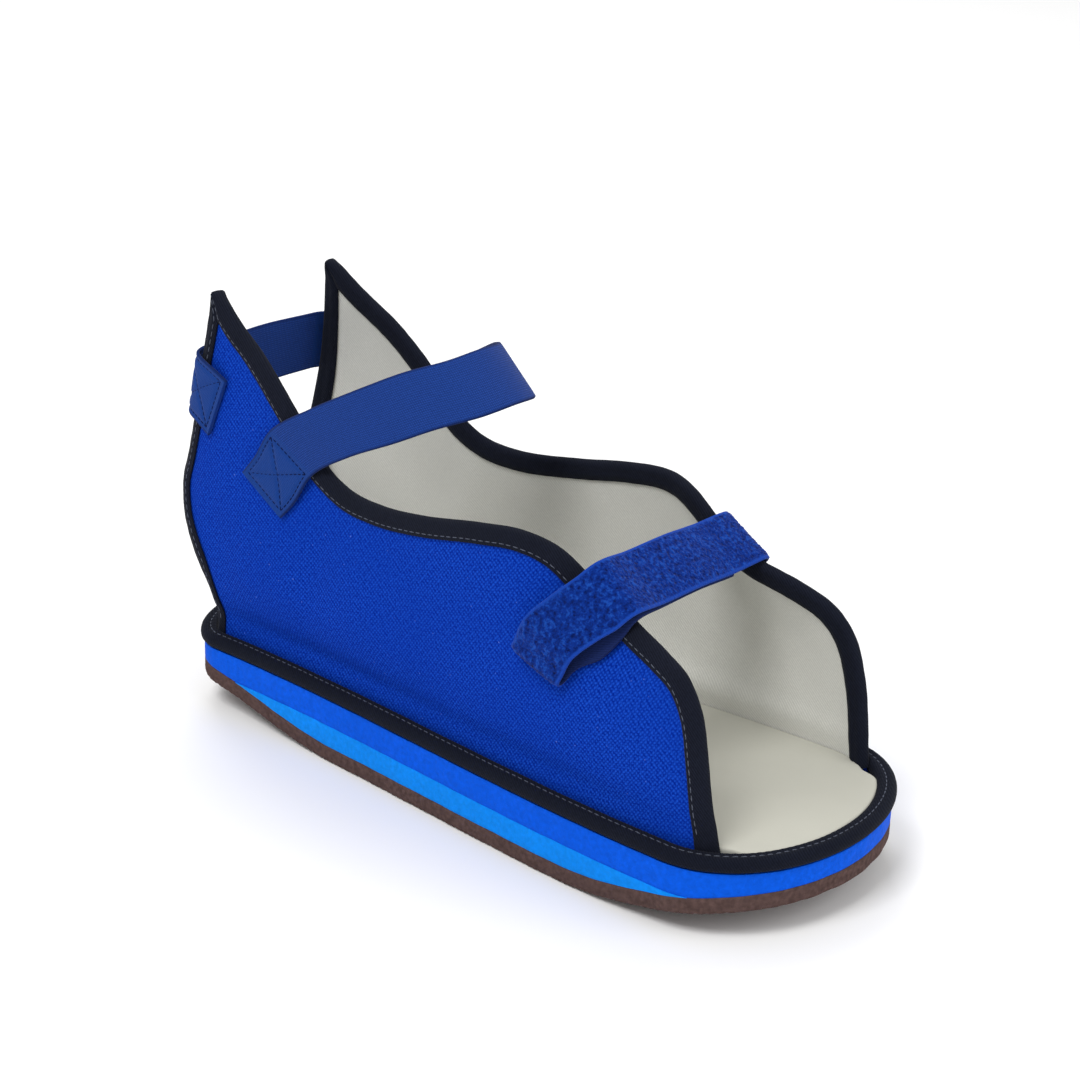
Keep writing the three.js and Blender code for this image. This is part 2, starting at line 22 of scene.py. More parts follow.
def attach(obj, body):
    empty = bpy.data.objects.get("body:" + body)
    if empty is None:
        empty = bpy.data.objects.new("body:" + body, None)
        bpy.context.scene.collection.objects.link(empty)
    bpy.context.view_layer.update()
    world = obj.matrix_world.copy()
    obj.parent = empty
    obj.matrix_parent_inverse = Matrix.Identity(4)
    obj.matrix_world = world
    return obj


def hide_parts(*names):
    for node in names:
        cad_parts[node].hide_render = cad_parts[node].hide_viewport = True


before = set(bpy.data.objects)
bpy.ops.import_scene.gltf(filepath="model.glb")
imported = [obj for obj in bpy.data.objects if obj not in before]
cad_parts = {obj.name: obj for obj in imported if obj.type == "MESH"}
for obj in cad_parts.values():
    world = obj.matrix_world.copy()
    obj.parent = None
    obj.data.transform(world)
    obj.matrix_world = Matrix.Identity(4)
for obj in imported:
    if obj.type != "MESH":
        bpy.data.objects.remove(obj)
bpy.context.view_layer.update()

Array = np.ndarray
Colour = tuple[float, float, float]
Reading = Callable[[Array], Array]
Material = bpy.types.Material
Node = bpy.types.Node
Socket = bpy.types.NodeSocket
MM = 0.001
BODY = "root"
# Places on a blank: past RIM is its outermost row of points, over OUTER_FACE its outer level.
RIM = 0.999
OUTER_FACE = 1.5
log = logging.getLogger("cast_shoe")


class Side(Enum):
    """The two sides of the shoe, as the sign of Y."""

    RIGHT = -1.0
    LEFT = 1.0


class Space(Enum):
    """Where a finish takes its pattern from: the piece's place or its own flat map."""

    OBJECT = "Object"
    FLAT = "UV"


class EdgeRow(NamedTuple):
    """A point of a panel's free edge: shares of the half length and of the panel height."""

    along: float
    up: float


class SectionRow(NamedTuple):
    """Half widths over the panels at three heights, as shares of half the ball width."""

    along: float
    low: float
    middle: float
    high: float


class StrapRow(NamedTuple):
    """A strap's middle line: off is its stand-off from the panel, out its free place across."""

    along: float
    up: float
    turn: float
    off: float | None = None
    out: float | None = None


class Crease(NamedTuple):
    """A soft ridge or trough of a panel: its middle, its reaches in metres, lean and height."""

    along: float
    up: float
    reach_along: float
    reach_up: float
    lean: float
    height: float


# The panel's free edge from the back of the heel over the peak to the toe, and the places of the
# peak and of the toe corner among its rows.
PANEL_EDGE = tuple(EdgeRow(*row) for row in (
    (-0.887, 0), (-0.89, 0.055), (-0.902, 0.14), (-0.931, 0.25), (-0.984, 0.375), (-0.998, 0.46),
    (-0.972, 0.56), (-0.943, 0.7), (-0.918, 0.87), (-0.907, 0.955), (-0.895, 1.01), (-0.865, 1),
    (-0.787, 0.943), (-0.693, 0.88), (-0.607, 0.805), (-0.53, 0.726), (-0.465, 0.65), (-0.38, 0.606),
    (-0.26, 0.597), (-0.1, 0.619), (0.07, 0.655), (0.2, 0.671), (0.29, 0.652), (0.4, 0.582),
    (0.5, 0.528), (0.62, 0.486), (0.7, 0.446), (0.757, 0.372), (0.79, 0.26), (0.813, 0.13), (0.836, 0),
))
PEAK_ROW = 10.4
TOE_CORNER_ROW = 26.6

# The panels' half widths from heel to toe.
PANEL_SECTIONS = tuple(SectionRow(*row) for row in (
    (-1.02, 0.61, 0.5, 0.44), (-0.89, 0.71, 0.67, 0.56), (-0.73, 0.75, 0.72, 0.58),
    (-0.6, 0.755, 0.715, 0.6), (-0.46, 0.765, 0.69, 0.6), (-0.3, 0.79, 0.7, 0.6),
    (-0.07, 0.825, 0.757, 0.6), (0.2, 0.86, 0.765, 0.55), (0.36, 0.875, 0.645, 0.4),
    (0.47, 0.865, 0.53, 0.3), (0.57, 0.86, 0.555, 0.3), (0.68, 0.85, 0.61, 0.35),
    (0.79, 0.83, 0.7, 0.45), (0.88, 0.79, 0.72, 0.5),
))

# The straps' middle lines, from their sewn or folded ends on the right up to the middle of the shoe.
ANKLE_ROWS = (
    StrapRow(-0.641, 0.522, 59, off=1.5 * MM),
    StrapRow(-0.6, 0.576, 59, off=1.7 * MM),
    StrapRow(-0.548, 0.664, 60, off=2.7 * MM),
    StrapRow(-0.439, 0.742, 58, off=1.8 * MM),
    StrapRow(-0.318, 0.812, 50, out=0.589),
    StrapRow(-0.226, 0.864, 47, out=0.45),
    StrapRow(-0.151, 0.897, 47, out=0.257),
    StrapRow(-0.13, 0.91, 47, out=0.0),
)
HEEL_ROWS = (
    StrapRow(-0.825, 0.71, -18, off=1.3 * MM),
    StrapRow(-0.87, 0.731, -17, off=2.1 * MM),
    StrapRow(-0.91, 0.745, -14, off=2.8 * MM),
    StrapRow(-0.9355, 0.754, -11, out=0.642),
    StrapRow(-0.947, 0.757, -10, out=0.58),
    StrapRow(-0.952, 0.759, -8, out=0.41),
    StrapRow(-0.957, 0.761, -4, out=0.0),
)
FOREFOOT_ROWS = (
    StrapRow(0.3195, 0.3755, 70, off=1.5 * MM),
    StrapRow(0.3475, 0.445, 66, off=1.9 * MM),
    StrapRow(0.39, 0.499, 62, off=3.1 * MM),
    StrapRow(0.427, 0.536, 56, off=4.2 * MM),
    StrapRow(0.453, 0.566, 56, off=4.2 * MM),
    StrapRow(0.452, 0.569, 54, out=0.402),
    StrapRow(0.452, 0.57, 54, out=0.0),
)
FOREFOOT_LEFT_ROWS = (
    StrapRow(0.319, 0.376, 69, off=1.5 * MM),
    StrapRow(0.352, 0.441, 65, off=1.8 * MM),
    StrapRow(0.392, 0.496, 61, off=2.2 * MM),
    StrapRow(0.427, 0.53, 60, off=3.2 * MM),
    StrapRow(0.441, 0.548, 58, off=2.6 * MM),
    StrapRow(0.446, 0.558, 55, out=0.36),
)

# Creases placed from the photographed right side; the left side has the same ones.
PANEL_CREASES = (
    Crease(-0.5, 0.09, 66 * MM, 4.8 * MM, 0, -2.3 * MM),
    Crease(0.3, 0.085, 62 * MM, 4.5 * MM, 0, -1.3 * MM),
    Crease(-0.45, 0.2, 62 * MM, 12 * MM, 0, 2 * MM),
    Crease(0.25, 0.19, 50 * MM, 12 * MM, 0, 0.6 * MM),
    Crease(-0.47, 0.34, 7 * MM, 24 * MM, -12, -1.2 * MM),
    Crease(-0.6, 0.33, 11 * MM, 24 * MM, -8, 0.8 * MM),
    Crease(-0.32, 0.33, 13 * MM, 22 * MM, 10, 0.8 * MM),
    Crease(-0.82, 0.3, 8 * MM, 24 * MM, 12, -0.9 * MM),
    Crease(0.3, 0.25, 9 * MM, 16 * MM, -20, -0.6 * MM),
    Crease(0.52, 0.28, 16 * MM, 20 * MM, -10, 0.8 * MM),
)


def smoothstep(share: Array) -> Array:
    """Returns the smooth rise from 0 to 1, level outside."""
    t = np.clip(share, 0, 1)
    return t * t * (3 - 2 * t)


def unit(rows: Array) -> Array:
    """Returns each row at length 1."""
    return rows / np.linalg.norm(rows, axis=-1, keepdims=True)


def to_share(place: Array) -> Array:
    """Returns a blank's places from -1 to 1 as shares from 0 to 1."""
    return (place + 1) / 2


def lengths(points: Array) -> Array:
    """Returns the length along a line of points up to each of them."""
    return np.concatenate([[0], np.cumsum(np.linalg.norm(np.diff(points, axis=0), axis=1))])


def read_at(places: Array, reach: Array, table: Array) -> Array:
    """Returns a table's columns at places, read straight between its rows."""
    return np.column_stack([np.interp(places, reach, column) for column in table.T])


def bump_shape(distance: Array, reach: float | Array) -> Array:
    """Returns a soft hump of height 1 that fades over reach."""
    return np.exp(-((distance / reach) ** 2))


def through(places: Array, values: Array, at: Array, flat_start: bool = False) -> Array:
    """Reads a smooth curve through knots at uneven places.

    Args:
        places: the knots' places, rising.
        values: the knots' values, one row a knot, with one column or a column for each point.
        at: where the curve is read.
        flat_start: whether the curve starts level.

    Returns:
        The curve's value at each point.
    """
    count = len(places)
    table = np.broadcast_to(values.reshape(count, -1), (count, at.size))
    x = np.clip(at, places[0], places[-1])
    i = np.clip(np.searchsorted(places, x, side="right") - 1, 0, count - 2)
    slopes = np.diff(table, axis=0) / np.diff(places)[:, None]
    tangents = np.empty(table.shape)
    tangents[1:-1] = (table[2:] - table[:-2]) / (places[2:] - places[:-2])[:, None]
    tangents[0] = 0 if flat_start else slopes[0]
    tangents[-1] = slopes[-1]
    column = np.arange(at.size)
    span = places[i + 1] - places[i]
    t = (x - places[i]) / span
    start = (1 + 2 * t) * (1 - t) ** 2 * table[i, column]
    end = t * t * (3 - 2 * t) * table[i + 1, column]
    leave = span * t * (1 - t) ** 2 * tangents[i, column]
    arrive = span * t * t * (t - 1) * tangents[i + 1, column]
    return start + end + leave + arrive


@dataclass(frozen=True)
class Ripple:
    """Slight unevenness: two crossed waves, each with its turns in radians a unit of length."""

    height: float
    quick: float
    slow: float
    sideways: float = 0

    def at(self, place: Array, beside: Array | float = 0) -> Array:
        """Returns the ripple's height at places along and across."""
        return self.height * np.sin(place * self.quick) * np.sin(place * self.slow + beside * self.sideways)


class SmoothCurve:
    """A centripetal curve through points."""

    def __init__(self, points: Array) -> None:
        """Keeps the points, with one more past each end."""
        first = 2 * points[0] - points[1]
        last = 2 * points[-1] - points[-2]
        self.points = np.vstack([first, points, last])
        self.spans = len(points) - 1

    def at(self, share: Array) -> Array:
        """Returns the curve's points at shares of its spans."""
        place = np.clip(share, 0, 1) * self.spans
        i = np.minimum(place.astype(int), self.spans - 1)
        t = (place - i)[:, None]
        p0, p1, p2, p3 = (self.points[i + k] for k in range(4))
        steps = (p1 - p0, p2 - p1, p3 - p2)
        d0, d1, d2 = (np.linalg.norm(step, axis=1)[:, None] ** 0.5 for step in steps)
        m1 = d1 * ((p1 - p0) / d0 - (p2 - p0) / (d0 + d1) + (p2 - p1) / d1)
        m2 = d1 * ((p2 - p1) / d1 - (p3 - p1) / (d1 + d2) + (p3 - p2) / d2)
        cubic = 2 * p1 - 2 * p2 + m1 + m2
        square = -3 * p1 + 3 * p2 - 2 * m1 - m2
        return ((cubic * t + square) * t + m1) * t + p1


@dataclass(frozen=True)
class Last:
    """The form the shoe is made on: the sole's outline and the panels' surface."""

    half_length: float = 150 * MM
    half_ball: float = 57 * MM
    half_heel: float = 41.5 * MM
    heel_round: float = 24 * MM
    toe_round: float = 42 * MM
    heel_power: float = 1.9
    toe_power: float = 2.05
    sole_top: float = 26 * MM
    upper_base: float = 26.3 * MM
    wall_inset: float = 6.3 * MM
    band_top: float = 6.3 * MM
    wall: float = 3 * MM
    panel_height: float = 141.5 * MM
    panel_back: float = 133 * MM
    panel_front: float = 125.4 * MM
    low_share: float = 0.32
    middle_share: float = 0.64
    foot_fade: float = 2 * MM
    outline_steps: int = 400
    wall_steps: int = 600

    @cached_property
    def half_line(self) -> Array:
        """The sole's outline on the left side, heel to toe, as close rows of x and y."""
        t = np.linspace(0, 1, self.outline_steps)
        turn = t * math.pi / 2
        back = self.heel_round - self.half_length
        heel_x = back - self.heel_round * np.cos(turn) ** (2 / self.heel_power)
        heel_y = self.half_heel * np.sin(turn) ** (2 / self.heel_power)
        front = self.half_length - self.toe_round
        side_x = back + (front - back) * t
        side_y = self.half_heel + (self.half_ball - self.half_heel) * smoothstep(t)
        toe_x = front + self.toe_round * np.cos(turn[::-1]) ** (2 / self.toe_power)
        toe_y = self.half_ball * np.sin(turn[::-1]) ** (2 / self.toe_power)
        x = np.concatenate([heel_x, side_x[1:], toe_x[1:]])
        y = np.concatenate([heel_y, side_y[1:], toe_y[1:]])
        return np.column_stack([x, np.maximum(y, 0)])

    @cached_property
    def half_reach(self) -> Array:
        """The length along half_line up to each of its rows."""
        return lengths(self.half_line)

    def outline(self, share: Array, inset: float | Array = 0) -> tuple[Array, Array]:
        """Reads the left half of the sole's outline.

        Args:
            share: shares of the half outline's length, from heel to toe.
            inset: how far the outline is drawn in.

        Returns:
            The places along and across.
        """
        reach = share * self.half_reach[-1]
        tangent = unit(np.gradient(self.half_line, axis=0))
        x, y = read_at(reach, self.half_reach, self.half_line).T
        tx, ty = read_at(reach, self.half_reach, tangent).T
        return x + ty * inset, y - tx * inset

    def share_at(self, x: float) -> float:
        """Returns the share of the half outline that reaches a place along the shoe."""
        return float(np.interp(x, self.half_line[:, 0], self.half_reach) / self.half_reach[-1])

    @cached_property
    def wall_line(self) -> tuple[Array, Array]:
        """The line that the panels' outside follows at the sole."""
        return self.outline(np.linspace(0, 1, self.wall_steps), self.wall_inset)

    def relief(self, x: Array, height: Array) -> Array:
        """Returns how far the creases push a panel out at each place."""
        total = np.zeros_like(x)
        for row in PANEL_CREASES:
            dx = x - row.along * self.half_length
            dh = height - row.up * self.panel_height
            lean = math.radians(row.lean)
            along = dx * math.cos(lean) + dh * math.sin(lean)
            up = dh * math.cos(lean) - dx * math.sin(lean)
            total += row.height * bump_shape(along, row.reach_along) * bump_shape(up, row.reach_up)
        return total

    def half_width(self, x: Array, height: Array) -> Array:
        """Returns the half width over the panels' outside at places along and up."""
        places = np.array([row.along for row in PANEL_SECTIONS]) * self.half_length
        foot = np.interp(np.maximum(x, -self.panel_back), *self.wall_line)
        columns = [foot]
        for name in ("low", "middle", "high"):
            shares = np.array([getattr(row, name) for row in PANEL_SECTIONS])
            columns.append(self.half_ball * through(places, shares, x))
        heights = np.array([0, self.low_share, self.middle_share, 1]) * self.panel_height
        heights[0] = self.band_top
        return through(heights, np.array(columns), height, flat_start=True) + self.relief(x, height)

    def panel(self, x: Array, height: Array, out: Array | float, side: Side) -> Array:
        """Places points on a panel, moved out along its normal.

        Args:
            x: places along the shoe.
            height: heights over the panel's foot.
            out: distances from the panel's outside.
            side: which panel.

        Returns:
            One row of x, y and z for each point.
        """
        step = 0.5 * MM

        def surface(dx: float, dh: float) -> Array:
            """Returns the points of the panel's outside, moved by dx and dh."""
            across = self.half_width(x + dx, height + dh)
            return np.column_stack([x + dx, side.value * across, self.upper_base + height + dh])

        along = surface(step, 0) - surface(-step, 0)
        up = surface(0, step) - surface(0, -step)
        normal = unit(np.cross(along, up)) * -side.value
        return surface(0, 0) + normal * np.broadcast_to(out, x.shape)[:, None]

    def edge_at(self, share: Array, tuck: float) -> Array:
        """Reads the free edge drawn into the panel.

        Args:
            share: shares of the edge's rows, from heel to toe.
            tuck: how far inside the free edge, except at the panel's foot.

        Returns:
            Places along and heights.
        """
        step = 0.001
        along = unit(self.free_edge.at(share + step) - self.free_edge.at(share - step))
        inward = np.column_stack([along[:, 1], -along[:, 0]])
        flat = self.free_edge.at(share)
        return flat + inward * (tuck * smoothstep(flat[:, 1] / self.foot_fade))[:, None]

    @cached_property
    def free_edge(self) -> SmoothCurve:
        """The panel's free edge in the flat, as places along and heights."""
        rows = np.array(PANEL_EDGE) * (self.half_length, self.panel_height)
        rows[0, 0] = -self.panel_back
        rows[-1, 0] = self.panel_front
        return SmoothCurve(rows)


LAST = Last()


class Workpiece:
    """A mesh on the bench, from its primitive to the finished piece."""

    def __init__(self, name: str) -> None:
        """Takes over the active object, which a primitive has just made."""
        self.body = bpy.context.object
        self.body.name = name
        self.bench = self.read()

    @staticmethod
    def clear_bench() -> None:
        """Leaves edit mode and deselects everything."""
        if bpy.context.object and bpy.context.object.mode != "OBJECT":
            bpy.ops.object.mode_set(mode="OBJECT")
        bpy.ops.object.select_all(action="DESELECT")

    @classmethod
    def slab(cls, name: str, columns: int, rows: int, levels: int) -> "Workpiece":
        """Extrudes a grid into a flat blank.

        Args:
            name: the piece's name.
            columns: faces along it, over x from -1 to 1.
            rows: faces across it, over y from -1 to 1.
            levels: extrusions of height 1 each, from z 0 upward.

        Returns:
            The blank.
        """
        cls.clear_bench()
        bpy.ops.mesh.primitive_grid_add(x_subdivisions=columns, y_subdivisions=rows, size=2)
        bpy.ops.object.mode_set(mode="EDIT")
        bpy.ops.mesh.select_all(action="SELECT")
        for _ in range(levels):
            bpy.ops.mesh.extrude_region_move(TRANSFORM_OT_translate={"value": (0, 0, 1)})
        bpy.ops.mesh.select_all(action="SELECT")
        bpy.ops.mesh.normals_make_consistent(inside=False)
        bpy.ops.object.mode_set(mode="OBJECT")
        return cls(name)

    @classmethod
    def ring(cls, name: str, around: int, section: int) -> "Workpiece":
        """Starts a piece from a torus with its middle line at radius 1."""
        cls.clear_bench()
        bpy.ops.mesh.primitive_torus_add(
            major_segments=around, minor_segments=section, major_radius=1, minor_radius=0.3
        )
        return cls(name)

    def read(self) -> Array:
        """Returns the piece's points as rows."""
        points = np.empty(len(self.body.data.vertices) * 3)
        self.body.data.vertices.foreach_get("co", points)
        return points.reshape(-1, 3)

    def bend(self, place: Reading) -> "Workpiece":
        """Moves each point of the blank to its place on the shoe."""
        self.body.data.vertices.foreach_set("co", place(self.bench).ravel())
        self.body.data.update()
        return self

    def turn_out(self) -> "Workpiece":
        """Turns every face of a closed piece outwards."""
        self.activate()
        bpy.ops.object.mode_set(mode="EDIT")
        bpy.ops.mesh.select_all(action="SELECT")
        bpy.ops.mesh.normals_make_consistent(inside=False)
        bpy.ops.object.mode_set(mode="OBJECT")
        return self

    def activate(self) -> None:
        """Makes this piece the only selected and the active one."""
        self.clear_bench()
        self.body.select_set(True)
        bpy.context.view_layer.objects.active = self.body

    def smooth(self, degrees: float) -> "Workpiece":
        """Shades the piece smooth, with edges sharper than the angle kept."""
        self.activate()
        bpy.ops.object.shade_smooth_by_angle(angle=math.radians(degrees))
        return self

    def form(self, place: Reading, degrees: float = 40) -> "Workpiece":
        """Bends the blank, turns its faces outwards and shades it smooth."""
        return self.bend(place).turn_out().smooth(degrees)

    def apply(self, kind: str, **settings: object) -> "Workpiece":
        """Adds a modifier, sets it and applies it."""
        self.activate()
        modifier = self.body.modifiers.new(kind.title(), kind)
        for name, value in settings.items():
            setattr(modifier, name, value)
        bpy.ops.object.modifier_apply(modifier=modifier.name)
        self.bench = self.read()
        return self

    def map_flat(self, flat: Reading) -> "Workpiece":
        """Writes the piece's own map, in metres, from its points on the bench."""
        mesh = self.body.data
        layer = mesh.uv_layers.active or mesh.uv_layers.new(name="UVMap")
        corners = np.empty(len(mesh.loops), dtype=np.int32)
        mesh.loops.foreach_get("vertex_index", corners)
        layer.data.foreach_set("uv", flat(self.bench)[corners].ravel())
        return self

    def paint(self, name: str, values: Array) -> "Workpiece":
        """Keeps a number for each point as a named attribute that finishes can read."""
        layer = self.body.data.attributes.new(name, "FLOAT", "POINT")
        layer.data.foreach_set("value", values.astype(np.float32))
        return self

    def dress(self, *materials: Material) -> "Workpiece":
        """Gives the piece its materials in slot order."""
        self.body.data.materials.clear()
        for material in materials:
            self.body.data.materials.append(material)
        return self

    def pick_faces(self, chosen: Array, slot: int) -> "Workpiece":
        """Moves the faces whose points are all chosen to a material slot."""
        for face in self.body.data.polygons:
            if all(chosen[i] for i in face.vertices):
                face.material_index = slot
        return self

    def join(self, *others: "Workpiece") -> "Workpiece":
        """Joins other pieces into this one."""
        self.activate()
        for other in others:
            other.body.select_set(True)
        bpy.ops.object.join()
        return self

    def hand_over(self, slot: str, *nodes: str) -> "Workpiece":
        """Lets the piece ride on the shoe and stand for nodes."""
        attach(self.body, BODY)
        if nodes:
            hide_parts(*nodes)
        log.info("%s: %d faces", self.body.name, len(self.body.data.polygons))
        return self


class Shader:
    """One Principled material, built node by node."""

    def __init__(self, name: str, roughness: float, sheen: float = 0) -> None:
        """Starts the material and sets the numbers that are the same all over it."""
        self.material = bpy.data.materials.new(name)
        self.material.use_nodes = True
        self.tree = self.material.node_tree
        self.surface = self.tree.nodes["Principled BSDF"]
        numbers = {"Roughness": roughness, "Sheen Weight": sheen, "Sheen Roughness": 0.5,
                   "Specular IOR Level": 0.03}
        for socket, number in numbers.items():
            self.surface.inputs[socket].default_value = number

    def feed(self, socket: Socket, value: object) -> None:
        """Links a pattern to a socket, or sets the socket's own number or colour."""
        if isinstance(value, Socket):
            self.tree.links.new(value, socket)
        elif socket.type == "RGBA":
            socket.default_value = (*value, 1)
        else:
            socket.default_value = value

    def node(self, kind: str, settings: dict[str, object] | None = None, **links: object) -> Node:
        """Adds a node.

        Args:
            kind: the node's type.
            settings: the node's own options.
            links: a socket or a value for each named input, with spaces written as underscores.

        Returns:
            The node.
        """
        made = self.tree.nodes.new(kind)
        for name, value in (settings or {}).items():
            setattr(made, name, value)
        for name, value in links.items():
            self.feed(made.inputs[name.replace("_", " ")], value)
        return made

    def place(self, space: Space, degrees: float = 0) -> Socket:
        """Returns pattern coordinates, turned about the third axis."""
        texture = self.node("ShaderNodeTexCoord")
        turn = (0, 0, math.radians(degrees))
        mapping = self.node("ShaderNodeMapping", Vector=texture.outputs[space.value], Rotation=turn)
        return mapping.outputs["Vector"]

    def noise(self, at: Socket, grain: float, detail: float = 2) -> Socket:
        """Returns soft noise whose blobs are about grain metres across."""
        made = self.node("ShaderNodeTexNoise", Vector=at, Scale=0.5 / grain, Detail=detail)
        return made.outputs["Fac"]

    def cells(self, at: Socket, grain: float) -> Socket:
        """Returns the distance to the middle of cells about grain metres across."""
        return self.node("ShaderNodeTexVoronoi", Vector=at, Scale=1 / grain).outputs["Distance"]

    def bands(self, at: Socket, axis: str, pitch: float, waver: float = 0) -> Socket:
        """Returns bands across an axis, pitch metres apart, that waver a little."""
        settings = {"wave_type": "BANDS", "bands_direction": axis}
        links = {"Scale": math.pi / 10 / pitch, "Distortion": waver, "Detail_Scale": 1.5}
        return self.node("ShaderNodeTexWave", settings, Vector=at, **links).outputs["Fac"]

    def math(self, operation: str, a: Socket | float, b: Socket | float) -> Socket:
        """Returns one sum of two numbers."""
        made = self.node("ShaderNodeMath", {"operation": operation})
        self.feed(made.inputs[0], a)
        self.feed(made.inputs[1], b)
        return made.outputs[0]

    def mixed(self, a: Socket, of_a: float, b: Socket, of_b: float) -> Socket:
        """Returns so much of one pattern and so much of another."""
        return self.math("ADD", self.math("MULTIPLY", a, of_a), self.math("MULTIPLY", b, of_b))

    def remap(self, value: Socket, low: float, high: float, most: float = 1) -> Socket:
        """Returns value stretched so that low gives 0 and high gives most, clamped."""
        made = self.node("ShaderNodeMapRange", Value=value, From_Min=low, From_Max=high, To_Max=most)
        return made.outputs["Result"]

    def blend(self, factor: Socket, a: Socket | Colour, b: Socket | Colour) -> Socket:
        """Returns a colour between two colours."""
        made = self.node("ShaderNodeMix", {"data_type": "RGBA"}, Factor=factor)
        colours = [socket for socket in made.inputs if socket.type == "RGBA"]
        for socket, value in zip(colours, (a, b)):
            self.feed(socket, value)
        return next(socket for socket in made.outputs if socket.type == "RGBA")

    def attribute(self, name: str) -> Socket:
        """Returns a number that the piece keeps for each point."""
        return self.node("ShaderNodeAttribute", {"attribute_name": name}).outputs["Fac"]

    def colour(self, value: Socket | Colour) -> None:
        """Sets the base colour."""
        self.feed(self.surface.inputs["Base Color"], value)

    def relief(self, *layers: tuple[Socket, float]) -> None:
        """Stacks bump layers, each a height from 0 to 1 and its depth in metres."""
        normal = None
        for height, depth in layers:
            links = {"Height": height, "Distance": depth, "Strength": 1}
            if normal is not None:
                links["Normal"] = normal
            normal = self.node("ShaderNodeBump", **links).outputs["Normal"]
        self.tree.links.new(normal, self.surface.inputs["Normal"])


def shade(colour: Colour, by: float) -> Colour:
    """Returns a colour made lighter or darker by a factor."""
    return tuple(min(c * by, 1) for c in colour)


def srgb(*levels: int) -> Colour:
    """Returns a screen colour's red, green and blue, 0 to 255, as linear light."""
    shares = (level / 255 for level in levels)
    return tuple(((c + 0.055) / 1.055) ** 2.4 if c > 0.0405 else c / 12.92 for c in shares)


@dataclass(frozen=True)
class Foam:
    """Closed-cell foam or soft rubber with fine pores and specks."""

    name: str
    colour: Colour
    grain: float = 0.9 * MM
    patches: float = 14 * MM
    speck: float = 0.2
    patch_shade: float = 0.85
    patch_share: float = 0.35
    roughness: float = 0.6
    pore_depth: float = 0.08 * MM
    grain_depth: float = 0.2 * MM

    def make(self) -> Material:
        """Builds the material."""
        shader = Shader(self.name, self.roughness)
        at = shader.place(Space.OBJECT)
        fine = shader.noise(at, self.grain, 3)
        broad = shader.noise(at, self.patches)
        pores = shader.remap(shader.cells(at, self.grain), 0.05, 0.35)
        tone = shader.remap(fine, 0.3, 0.7)
        base = shader.blend(tone, shade(self.colour, 1 - self.speck), shade(self.colour, 1 + self.speck))
        patches = shader.remap(broad, 0.3, 0.7, self.patch_share)
        shader.colour(shader.blend(patches, base, shade(self.colour, self.patch_shade)))
        shader.relief((pores, self.pore_depth), (fine, self.grain_depth))
        return shader.material


@dataclass(frozen=True)
class Canvas:
    """Close knit cloth over foam, with a dotted weave."""

    name: str
    colour: Colour
    low: Colour
    high: Colour
    lint: Colour
    pitch: float = 1.1 * MM
    turn: float = 38
    waver: float = 1.2
    fuzz: float = 0.55 * MM
    patches: float = 22 * MM
    lint_grain: float = 0.7 * MM
    weave_depth: float = 0.16 * MM
    patch_depth: float = 0.5 * MM

    def make(self) -> Material:
        """Builds the material."""
        shader = Shader(self.name, 0.85)
        at = shader.place(Space.FLAT, self.turn)
        warp = shader.bands(at, "X", self.pitch, self.waver)
        weft = shader.bands(at, "Y", self.pitch * 1.3, self.waver)
        dots = shader.math("MULTIPLY", warp, weft)
        fuzz = shader.noise(at, self.fuzz, 3)
        broad = shader.noise(at, self.patches, 3)
        weave = shader.mixed(dots, 0.45, fuzz, 1)
        cloth = shader.blend(shader.remap(weave, 0.4, 0.9), self.low, self.high)
        cloth = shader.blend(shader.remap(broad, 0.35, 0.65, 0.3), cloth, shade(self.colour, 0.8))
        lint = shader.remap(shader.noise(at, self.lint_grain, 0), 0.84, 0.88, 0.3)
        shader.colour(shader.blend(lint, cloth, self.lint))
        shader.relief((weave, self.weave_depth), (broad, self.patch_depth))
        return shader.material


@dataclass(frozen=True)
class PlainCloth:
    """Dense cloth or tape with a fine twill."""

    name: str
    colour: Colour
    space: Space = Space.OBJECT
    pitch: float = 0.7 * MM
    contrast: float = 0.3
    fuzz: float = 0.5 * MM
    patches: float = 9 * MM
    grain_depth: float = 0.12 * MM
    patch_depth: float = 0.3 * MM

    def make(self) -> Material:
        """Builds the material."""
        shader = Shader(self.name, 0.8, sheen=0.03)
        at = shader.place(self.space)
        twill = shader.bands(at, "DIAGONAL", self.pitch)
        fuzz = shader.noise(at, self.fuzz, 3)
        broad = shader.noise(at, self.patches)
        grain = shader.mixed(twill, 0.5, fuzz, 0.7)
        low, high = shade(self.colour, 1 - self.contrast), shade(self.colour, 1 + self.contrast)
        tone = shader.blend(shader.remap(grain, 0.35, 0.85), low, high)
        shader.colour(shader.blend(shader.remap(broad, 0.35, 0.65, 0.3), tone, low))
        shader.relief((grain, self.grain_depth), (broad, self.patch_depth))
        return shader.material


@dataclass(frozen=True)
class Webbing:
    """Elastic webbing: fine ribs across, dark selvedges and a darker sewn end."""

    name: str
    colour: Colour
    patch: Colour
    edge: Colour
    pitch: float = 0.8 * MM
    fuzz: float = 0.5 * MM
    depth: float = 0.12 * MM

    def make(self) -> Material:
        """Builds the material."""
        shader = Shader(self.name, 0.72, sheen=0.06)
        at = shader.place(Space.FLAT)
        ribs = shader.bands(at, "X", self.pitch)
        cords = shader.bands(at, "Y", self.pitch * 1.1)
        fuzz = shader.noise(at, self.fuzz, 3)
        weave = shader.mixed(shader.math("MULTIPLY", ribs, cords), 1, fuzz, 0.7)
        tone = shader.remap(weave, 0.25, 1.1)
        cloth = shader.blend(tone, shade(self.colour, 0.68), shade(self.colour, 1.35))
        cloth = shader.blend(shader.attribute("patch"), cloth, self.patch)
        shader.colour(shader.blend(shader.attribute("selvedge"), cloth, self.edge))
        shader.relief((weave, self.depth))
        return shader.material


